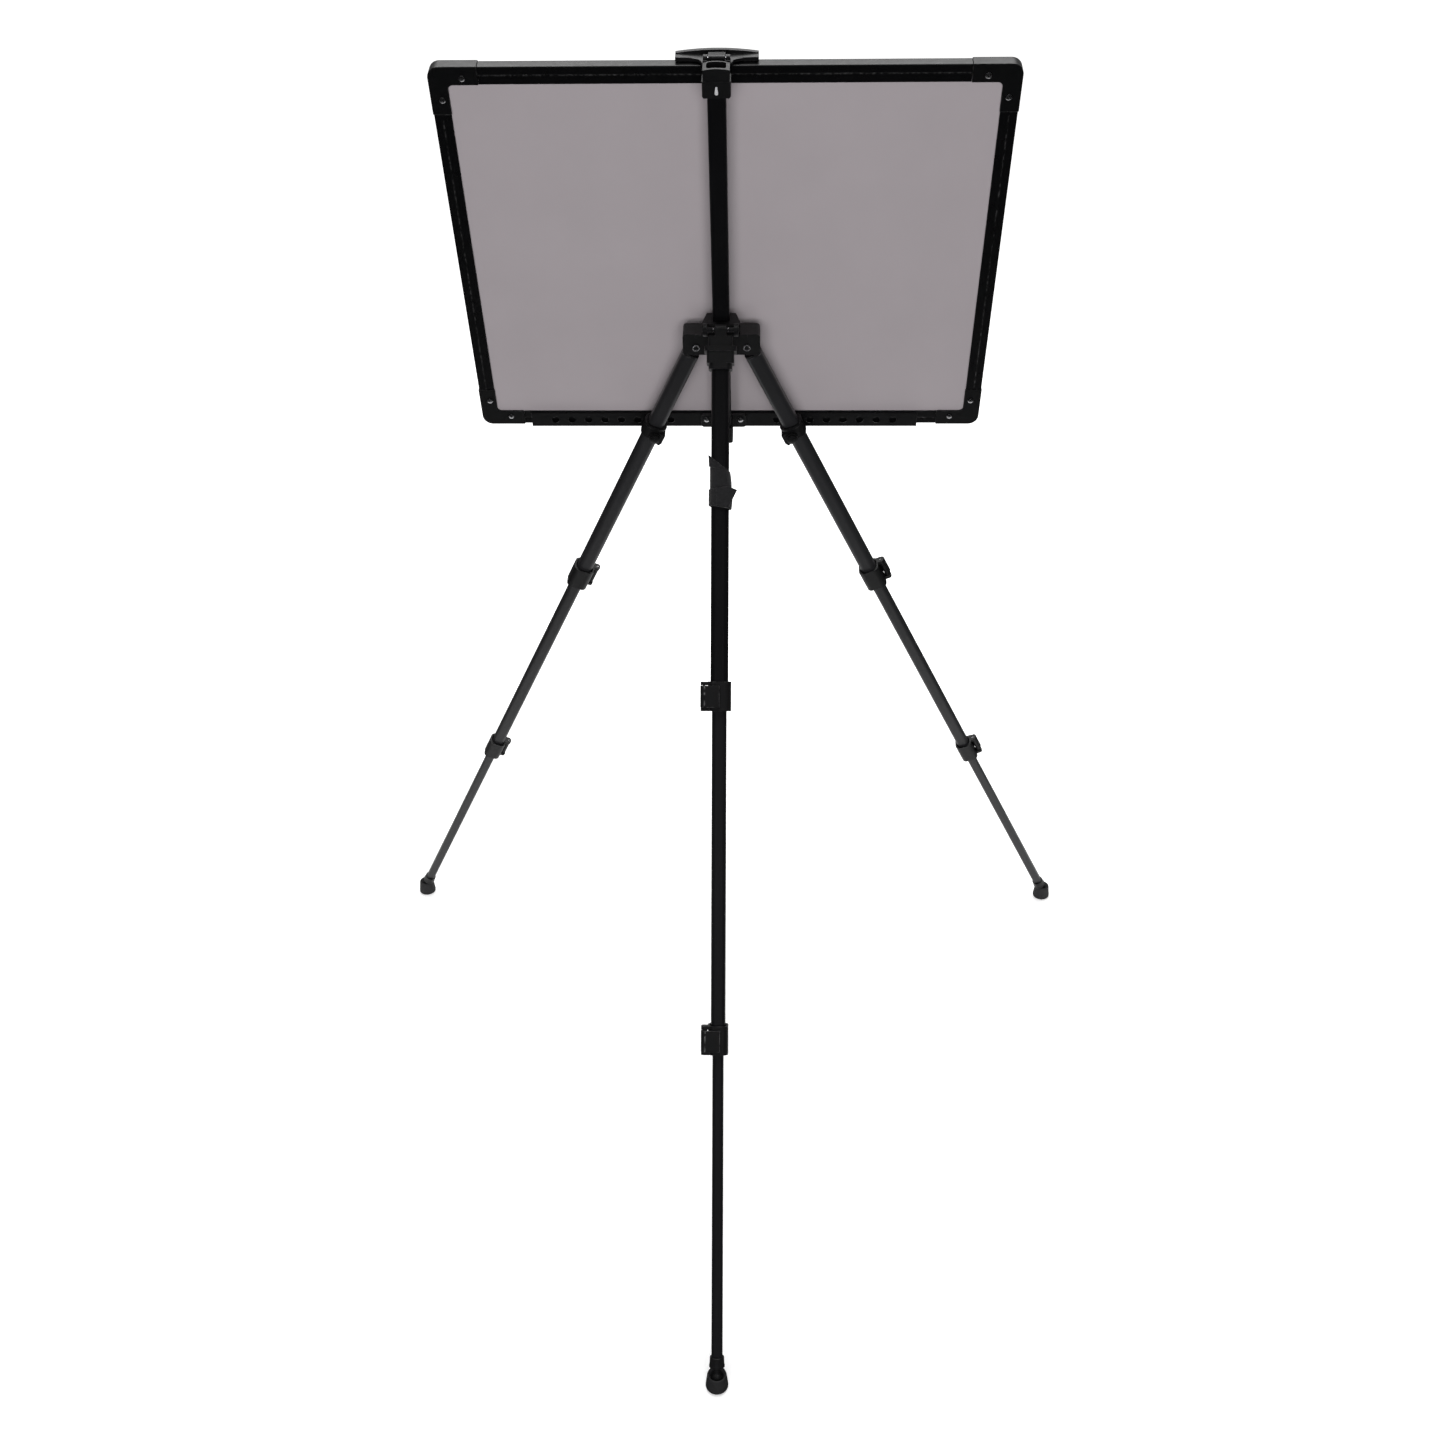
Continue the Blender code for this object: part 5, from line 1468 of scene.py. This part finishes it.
@dataclass
class BallFoot(Assembly):
    """The ball plug in the lowest section and the rubber cup on it."""

    prefix: str = ""
    ball_height: float = 0.0150
    ball_radius: float = 0.0070
    neck_radius: float = 0.0042
    flange_radius: float = 0.0090
    flange_low: float = 0.0126
    plug_top: float = 0.0248
    socket: float = 0.0164

    def plug(self, level: float) -> Solid:
        """Draw the plug; level is the ball's place along the leg."""
        start = math.degrees(math.acos(self.neck_radius / self.ball_radius))
        top, low, wide = self.plug_top, self.flange_low, self.flange_radius
        profile = [(0.0, top), (0.0078, top), (0.0082, top - 0.0004)]
        profile += [(0.0086, low + 0.0036), (wide - 0.0003, low + 0.0030)]
        profile += [(wide, low + 0.0026), (wide, low + 0.0005), (wide - 0.0005, low)]
        profile += [(self.neck_radius + 0.0008, low - 0.0006), (self.neck_radius, low - 0.0014)]
        profile += arc((0.0, 0.0), self.ball_radius, start, -86, 16) + [(0.0, -self.ball_radius)]
        plug = Solid.turned(profile, segments=40)
        plug.cut(TUBE_SECTIONS[2].bore(0.0003, self.socket, top + 0.001))
        return plug.moved(Matrix.Translation((0.0, 0.0, level)))

    def cup(self, centre: Vector) -> Solid:
        """Draw the cup in the row frame round the ball's centre."""
        inner = self.ball_radius + 0.0003
        profile = [(0.0, -inner)] + arc((0.0, 0.0), inner, -82, 14, 12)
        profile += [(0.0082, 0.0036), (0.0090, 0.0050), (0.0096, 0.0060), (0.0100, 0.0065), (0.0104, 0.0065)]
        profile += [(0.0108, 0.0060), (0.0112, 0.0048), (0.0115, 0.0030), (0.0119, -0.0010)]
        profile += [(0.0124, -0.0050), (0.0127, -0.0078), (0.0130, -0.0100), (0.0131, -0.0116)]
        profile += [(0.0130, -0.0129), (0.0126, -0.0139)]
        profile += [(0.0119, -0.0147), (0.0110, -self.ball_height), (0.0, -self.ball_height)]
        return Solid.turned(profile, segments=56).moved(Matrix.Translation(centre))

    def build(self) -> None:
        """Make the plug and the cup."""
        centre = self.part.place(f"{self.prefix}_foot_tilt")
        level = self.axes.local(centre).z
        self.show(self.plug(level), f"{self.prefix}_ball_plug", MOULDED_PLASTIC, f"{self.prefix}_foot_plug")
        cup = self.cup(centre).moved(self.axes.matrix.inverted())
        cup_name, body = f"{self.prefix}_rubber_cup", f"{self.prefix}_foot"
        self.show(cup, cup_name, FOOT_RUBBER, f"{self.prefix}_foot_cup", body=body)


@dataclass
class Leg(Assembly):
    """A leg: three telescoping tubes with their head, locks and foot."""

    prefix: str = ""
    tube_top: float = 0.0180
    finishes: tuple[Finish, ...] = (LIT_SIDE_TUBE, LIT_SIDE_TUBE, LOWER_TUBE)

    def head(self) -> Solid:
        """Draw the plug and eye that hang a side leg in the hub."""
        head = Solid.cylinder(0.0075, -0.0050, 0.0050, "Y")
        cap = TUBE_SECTIONS[0].bore(0.0, -self.tube_top + 0.0003, -0.0155)
        spigot = TUBE_SECTIONS[0].bore(-0.0014, -0.042, -0.0160)
        head.join(Solid.box((-0.0065, -0.0050, -0.0175), (0.0065, 0.0050, 0.0)), cap, spigot)
        head.cut(Solid.cylinder(0.0030, -0.02, 0.02, "Y"))
        return head.soften(0.0004, 2)

    def tubes(self) -> None:
        """Make the three tubes."""
        bodies = ("upper", "middle", "lower")
        for name, section, finish in zip(bodies, TUBE_SECTIONS, self.finishes):
            node = f"{self.prefix}_{name}_tube"
            low, high = self.axes.extent(self.part.node(node))
            piece = f"{self.prefix}_{name}_section"
            self.show(section.tube(low.z, high.z), piece, finish, node, body=f"{self.prefix}_{name}_leg")

    def build(self) -> None:
        """Make every piece of the leg."""
        self.show(self.head(), f"{self.prefix}_leg_knuckle", MOULDED_PLASTIC, f"{self.prefix}_leg_head")
        self.tubes()
        for place, body in (("upper", "upper_leg"), ("lower", "middle_leg")):
            FlipLock(self.part, self.axes, f"{self.prefix}_{body}", self.prefix, place).build()
        BallFoot(self.part, self.axes, f"{self.prefix}_lower_leg", self.prefix).build()


@dataclass
class RearLeg(Leg):
    """The rear leg, which hangs by a forked socket from the hub's hinge pin and carries the strap."""

    tube_top: float = 0.0268
    finishes: tuple[Finish, ...] = (PAINTED_TUBE, REAR_TUBE, REAR_TUBE)
    eye_radius: float = 0.0062
    eye_half: float = 0.0060
    strap_start: float = 0.1420
    strap_thick: float = 0.0012

    def head(self) -> Solid:
        """Draw the socket that holds the tube and turns on the rear pin."""
        width, depth = TUBE_SECTIONS[0].width, TUBE_SECTIONS[0].depth
        head = Solid.cylinder(self.eye_radius, -self.eye_half, self.eye_half, "X")
        yoke = rounded_rectangle(0.027, 0.0145, 0.0025, 4, (0.0, 0.00125))
        lip = rounded_rectangle(0.0360, 0.0240, 0.0042, 6, (0.0, 0.0007))
        block = rounded_rectangle(0.0305, depth + 0.0052, 0.0035, 6)
        skirt = rounded_rectangle(width + 0.0064, depth + 0.0052, 0.0080, 8)
        head.join(
            Solid.box((-self.eye_half, -0.0055, -0.0120), (self.eye_half, 0.0060, 0.0)),
            Solid.prism(yoke, -0.0205, -0.0085), Solid.prism(lip, -0.0255, -0.0200),
            Solid.prism(block, -0.0385, -0.0250), Solid.prism(skirt, -0.0450, -0.0380),
        )
        bore = TUBE_SECTIONS[0].bore(0.0003, -0.0470, 0.0003 - self.tube_top)
        head.cut(bore, Solid.cylinder(0.0028, -0.02, 0.02, "X"))
        return head.soften(0.0006, 3)

    def wrap(self, tops: Pair, bottoms: Pair, inner: float, bulge: float) -> Solid:
        """Draw one turn of tape with slanted edges.

        Args:
            tops: The upper edge's levels on +X and on -X.
            bottoms: The lower edge's levels on +X and on -X.
            inner: The gap between the tube and the tape.
            bulge: How far the tape stands off on -X.

        Returns:
            The closed band.
        """
        section = TUBE_SECTIONS[0]
        thick = self.strap_thick
        rings = []
        for x, y in section.outline(inner, 10):
            across = x / (section.width / 2)
            lean = Vector((x, y, 0.0)).normalized()
            top = tops[0] + (tops[1] - tops[0]) * (1 - across) / 2
            bottom = bottoms[0] + (bottoms[1] - bottoms[0]) * (1 - across) / 2
            ring = []
            for step in range(9):
                level = top + (bottom - top) * step / 8
                swell = bulge * math.sin(math.pi * step / 8) * max(0.0, -across)
                ring.append(Vector((x, y, level)) + lean * swell)
            outside = [point + lean * thick for point in reversed(ring)]
            rings.append(ring + outside)
        return Solid.loft(rings, comes_round=True)

    def strap(self) -> Solid:
        """Draw the storage strap: two overlapping turns and two free corners."""
        first = self.wrap((-self.strap_start, -0.1580), (-0.1880, -0.1890), 0.0003, 0.0016)
        second = self.wrap((-0.1775, -0.1745), (-0.1960, -0.1995), 0.0017, 0.0010)
        half = TUBE_SECTIONS[0].width / 2
        tail = [(-half - 0.0095, -0.1788), (-half, -0.1752), (0.004, -0.1764), (0.004, -0.1965)]
        tail.append((-half + 0.0005, -0.1990))
        corner = [(half + 0.0030, -0.1396), (half + 0.0022, -0.1530), (-0.004, -0.1560)]
        corner.append((-0.004, -0.1534))
        back = TUBE_SECTIONS[0].depth / 2
        first.add(
            second, Solid.prism(tail, back + 0.0020, back + 0.0031, "Y"),
            Solid.prism(corner, back + 0.0006, back + 0.0017, "Y"),
        )
        return first.soften(0.0004, 2, 45.0)

    def build(self) -> None:
        """Make the leg and its strap."""
        super().build()
        self.show(self.strap(), "storage_strap", HOOK_AND_LOOP, "leg_strap")


@dataclass
class LegClip(Assembly):
    """The clip on a side leg whose peg carries the ledge, and its locking knob."""

    prefix: str = ""
    inward: int = -1
    half: float = 0.0090
    wall: float = 0.0032
    flare: float = 0.0007

    def ring(self) -> Solid:
        """Draw the flared ring round the tube's axis."""
        section = TUBE_SECTIONS[0]
        wall = self.wall
        steps = ((wall - 0.0004, -self.half), (wall, -self.half + 0.0004), (wall, self.half - 0.0034),
                 (wall + self.flare, self.half - 0.0024), (wall + self.flare, self.half - 0.0004),
                 (wall + self.flare - 0.0004, self.half))
        rings = [[Vector((x, y, level)) for x, y in section.outline(grow)] for grow, level in steps]
        return Solid.loft(rings)

    def clip(self, low: Vector, level: float, boss: Vector) -> Solid:
        """Draw the clip.

        Args:
            low: The CAD clip's lowest corner.
            level: The ring's middle along the leg.
            boss: The knob's axis.

        Returns:
            The moulded clip in the leg's frame.
        """
        section = TUBE_SECTIONS[0]
        back = section.depth / 2 + self.wall
        lift = Matrix.Translation((0.0, 0.0, level))
        body = self.ring().moved(lift)
        side = self.inward
        lug = [(side * 0.0060, level + 0.0040), (side * 0.0144, level + 0.0028)]
        lug += [(side * 0.0144, level - 0.0100), (side * 0.0118, level - 0.0140)]
        lug.append((side * 0.0060, level - 0.0110))
        inverse = self.axes.matrix.inverted()
        node = self.part.node(f"{self.prefix}_leg_clip")
        points = [inverse @ vertex.co for vertex in node.data.vertices]
        tip = [point for point in points if point.y < low.y + 0.0005]
        outline = convex_outline([(point.x, point.z) for point in tip])
        body.join(
            Solid.cylinder(0.0068, back - 0.002, back + 0.0042, "Y", (boss.x, boss.z)),
            Solid.prism(lug, 0.0020, back + 0.0010, "Y"),
            Solid.prism(outline, low.y, -back + 0.003, "Y"),
        )
        middle = sum(x for x, _ in outline) / len(outline)
        floor = min(z for _, z in outline)
        body.join(Solid.box((middle - 0.004, -back - 0.0005, floor), (middle + 0.004, -back + 0.003, level)))
        body.cut(
            section.bore(0.0003, level - 0.03, level + 0.03),
            Solid.cylinder(0.0035, section.depth / 2, back + 0.006, "Y", (boss.x, boss.z)),
        )
        return body.soften(0.0005, 3)

    def knob(self, low: Vector, high: Vector, boss: Vector) -> Solid:
        """Draw the domed locking knob between two corners."""
        reach = high.y
        profile = [(0.0, low.y), (0.0032, low.y), (0.0032, reach - 0.0006), (0.0050, reach - 0.0006)]
        profile += [(0.0056, reach + 0.0001), (0.0057, reach + 0.0012), (0.0054, reach + 0.0020)]
        profile += [(0.0045, reach + 0.0025), (0.0026, reach + 0.0029), (0.0, reach + 0.0030)]
        return Solid.turned(profile, "Y", (boss.x, boss.z), 40)

    def build(self) -> None:
        """Make the clip and its knob."""
        node = self.part.node(f"{self.prefix}_leg_clip")
        screw_low, screw_high = self.axes.extent(self.part.node(f"{self.prefix}_clip_screw"))
        boss = (screw_low + screw_high) / 2
        low, _ = self.axes.extent(node)
        piece = self.clip(low, boss.z + 0.0035, boss)
        self.show(piece, f"{self.prefix}_slide_clip", MOULDED_PLASTIC, f"{self.prefix}_leg_clip")
        knob = self.knob(screw_low, screw_high, boss)
        self.show(knob, f"{self.prefix}_clip_knob", MOULDED_PLASTIC, f"{self.prefix}_clip_screw")


def convex_outline(points: Sequence[Pair]) -> Outline:
    """Return the convex outline round flat points, anticlockwise."""
    ordered = sorted(set((round(x, 6), round(z, 6)) for x, z in points))
    sides = []
    for row in (ordered, ordered[::-1]):
        side: Outline = []
        for x, z in row:
            while len(side) > 1:
                (ax, az), (bx, bz) = side[-2:]
                if (bx - ax) * (z - az) - (bz - az) * (x - ax) > 1e-10:
                    break
                side.pop()
            side.append((x, z))
        sides.append(side[:-1])
    return sides[0] + sides[1]


@dataclass
class Studio:
    """The camera, the lights, the pale floor and the white surround."""

    camera_place: tuple[float, float, float] = (-0.0499, 1.6425, 1.5858)
    camera_down: float = 30.70
    camera_yaw: float = 1.734
    camera_roll: float = 0.608
    lens: float = 39.26
    floor_size: float = 30.0
    surround: float = 0.45
    room: float = 0.07
    floor_glow: float = 0.95
    floor_dark: float = 0.06

    def camera(self) -> None:
        """Set the camera behind the easel and a little above its head."""
        data = bpy.data.cameras.new("camera")
        data.lens = self.lens
        data.sensor_width = 36.0
        made = bpy.data.objects.new("camera", data)
        bpy.context.scene.collection.objects.link(made)
        yaw = Matrix.Rotation(math.radians(self.camera_yaw), 3, "Z")
        forward, right, up = yaw @ Vector((0, -1, 0)), yaw @ Vector((-1, 0, 0)), Vector((0, 0, 1))
        pitch = Matrix.Rotation(math.radians(-self.camera_down), 3, right)
        forward, up = pitch @ forward, pitch @ up
        roll = Matrix.Rotation(math.radians(self.camera_roll), 3, forward)
        right, up = roll @ right, roll @ up
        turn = Matrix((right, up, -forward)).transposed().to_4x4()
        made.matrix_world = Matrix.Translation(self.camera_place) @ turn
        bpy.context.scene.camera = made

    def light(self, name: str, place: Vector, size: Pair, power: float, aim: Vector,
              mirrored: bool = True) -> None:
        """Add an oblong soft light.

        Args:
            name: Its name.
            place: Where it hangs.
            size: Its width and height.
            power: Its power in watts.
            aim: The point it faces.
            mirrored: Whether glossy surfaces mirror it.
        """
        data = bpy.data.lights.new(name, "AREA")
        data.shape = "RECTANGLE"
        data.size, data.size_y = size
        data.energy = power
        made = bpy.data.objects.new(name, data)
        made.visible_glossy = mirrored
        bpy.context.scene.collection.objects.link(made)
        turn = (aim - place).to_track_quat("-Z", "Y").to_matrix().to_4x4()
        made.matrix_world = Matrix.Translation(place) @ turn

    def floor(self) -> None:
        """Lay the pale floor."""
        half = self.floor_size / 2
        mesh = bpy.data.meshes.new("floor")
        corners = [(-half, -half, 0), (half, -half, 0), (half, half, 0), (-half, half, 0)]
        mesh.from_pydata(corners, [], [(0, 1, 2, 3)])
        tree = ShaderTree("floor")
        seen = tree.add("ShaderNodeLightPath").outputs["Is Camera Ray"]
        place = tree.add("ShaderNodeTexCoord").outputs["Object"]
        back = tree.add("ShaderNodeSeparateXYZ", None, Vector=place).outputs["Y"]
        near = tree.add("ShaderNodeMapping", None, Vector=place, Location=(0.0, 0.3, 0.0)).outputs[0]
        near = tree.add("ShaderNodeVectorMath", {"operation": "LENGTH"}, Vector=near).outputs["Value"]
        lit = tree.maths("MULTIPLY", tree.spread(back, self.floor_glow, self.floor_dark, -0.05, 0.3),
                         tree.spread(near, 1.0, 0.1, 0.75, 1.2))
        lit = tree.add("ShaderNodeCombineColor", None, Red=lit, Green=lit, Blue=lit).outputs[0]
        tree.feed(tree.shader.inputs["Base Color"], tree.blend(seen, lit, (0.95, 0.95, 0.95, 1.0)))
        away = tree.add("ShaderNodeVectorMath", {"operation": "LENGTH"}, Vector=place).outputs["Value"]
        fade = tree.maths("MULTIPLY", tree.spread(away, 0.22, 1.0, 0.5, 1.7), seen)
        tree.feed(tree.shader.inputs["Emission Strength"], fade)
        tree.shader.inputs["Emission Color"].default_value = (1.0, 1.0, 1.0, 1.0)
        tree.shader.inputs["Roughness"].default_value = 0.9
        tree.shader.inputs["Specular IOR Level"].default_value = 0.1
        mesh.materials.append(tree.material)
        made = bpy.data.objects.new("floor", mesh)
        bpy.context.scene.collection.objects.link(made)
        made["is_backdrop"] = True

    def fall(self, nodes: bpy.types.Nodes, span: Pair, values: Pair) -> bpy.types.Node:
        """Add a smooth step between two values over a span."""
        node = nodes.new("ShaderNodeMapRange")
        node.interpolation_type = "SMOOTHSTEP"
        for name, value in zip(("From Min", "From Max", "To Min", "To Max"), span + values):
            node.inputs[name].default_value = value
        return node

    def build(self) -> None:
        """Set up the studio."""
        scene = bpy.context.scene
        world = bpy.data.worlds.new("surround")
        world.use_nodes = True
        nodes, links = world.node_tree.nodes, world.node_tree.links
        sky = nodes["Background"]
        sky.inputs["Color"].default_value = (1.0, 1.0, 1.0, 1.0)
        parts = nodes.new("ShaderNodeSeparateXYZ")
        links.new(nodes.new("ShaderNodeTexCoord").outputs["Generated"], parts.inputs[0])
        back = self.fall(nodes, (-0.25, 0.45), (self.surround, self.room))
        links.new(parts.outputs["Y"], back.inputs["Value"])
        across = nodes.new("ShaderNodeMath")
        across.operation = "ABSOLUTE"
        links.new(parts.outputs["X"], across.inputs[0])
        aside = self.fall(nodes, (0.3, 0.65), (1.0, 0.15))
        links.new(across.outputs[0], aside.inputs["Value"])
        dim = nodes.new("ShaderNodeMath")
        dim.operation = "MULTIPLY"
        links.new(back.outputs["Result"], dim.inputs[0])
        links.new(aside.outputs["Result"], dim.inputs[1])
        bright = nodes.new("ShaderNodeMath")
        bright.operation = "MAXIMUM"
        links.new(nodes.new("ShaderNodeLightPath").outputs["Is Camera Ray"], bright.inputs[0])
        links.new(dim.outputs[0], bright.inputs[1])
        links.new(bright.outputs[0], sky.inputs["Strength"])
        scene.world = world
        scene.view_settings.view_transform = "Standard"
        self.camera()
        self.floor()
        middle = Vector((0.0, 0.0, 0.9))
        self.light("overhead", Vector((0.0, -0.6, 3.4)), (2.6, 2.6), 110.0, Vector((0.0, 0.0, 0.0)))
        self.light("fill", Vector((0.0, 2.6, 1.1)), (2.4, 1.8), 63.0, middle, mirrored=False)


def main() -> None:
    """Build the easel and the studio."""
    logging.basicConfig(level=logging.INFO, format="%(message)s")
    part = PackedPart()
    mast = part.mast_axes()
    Hub(part, mast, "easel_head").build()
    Mast(part, mast, "easel_head").build()
    Ledge(part, mast, "easel_head").build()
    low, _ = mast.extent(part.node("bottom_left_cap"))
    _, high = mast.extent(part.node("bottom_right_cap"))
    corner = Matrix.Translation(((low.x + high.x) / 2, high.y, low.z))
    Board(part, Axes(mast.matrix @ corner), "board").build()
    TopClamp(part, mast, "top_clamp").build()
    for prefix, inward in (("right", -1), ("left", 1)):
        axes = part.leg_axes(prefix)
        Leg(part, axes, f"{prefix}_upper_leg", prefix).build()
        LegClip(part, axes, f"{prefix}_clip", prefix, inward).build()
    RearLeg(part, part.leg_axes("rear"), "rear_upper_leg", "rear").build()
    Studio().build()


if __name__ == "__main__":
    main()
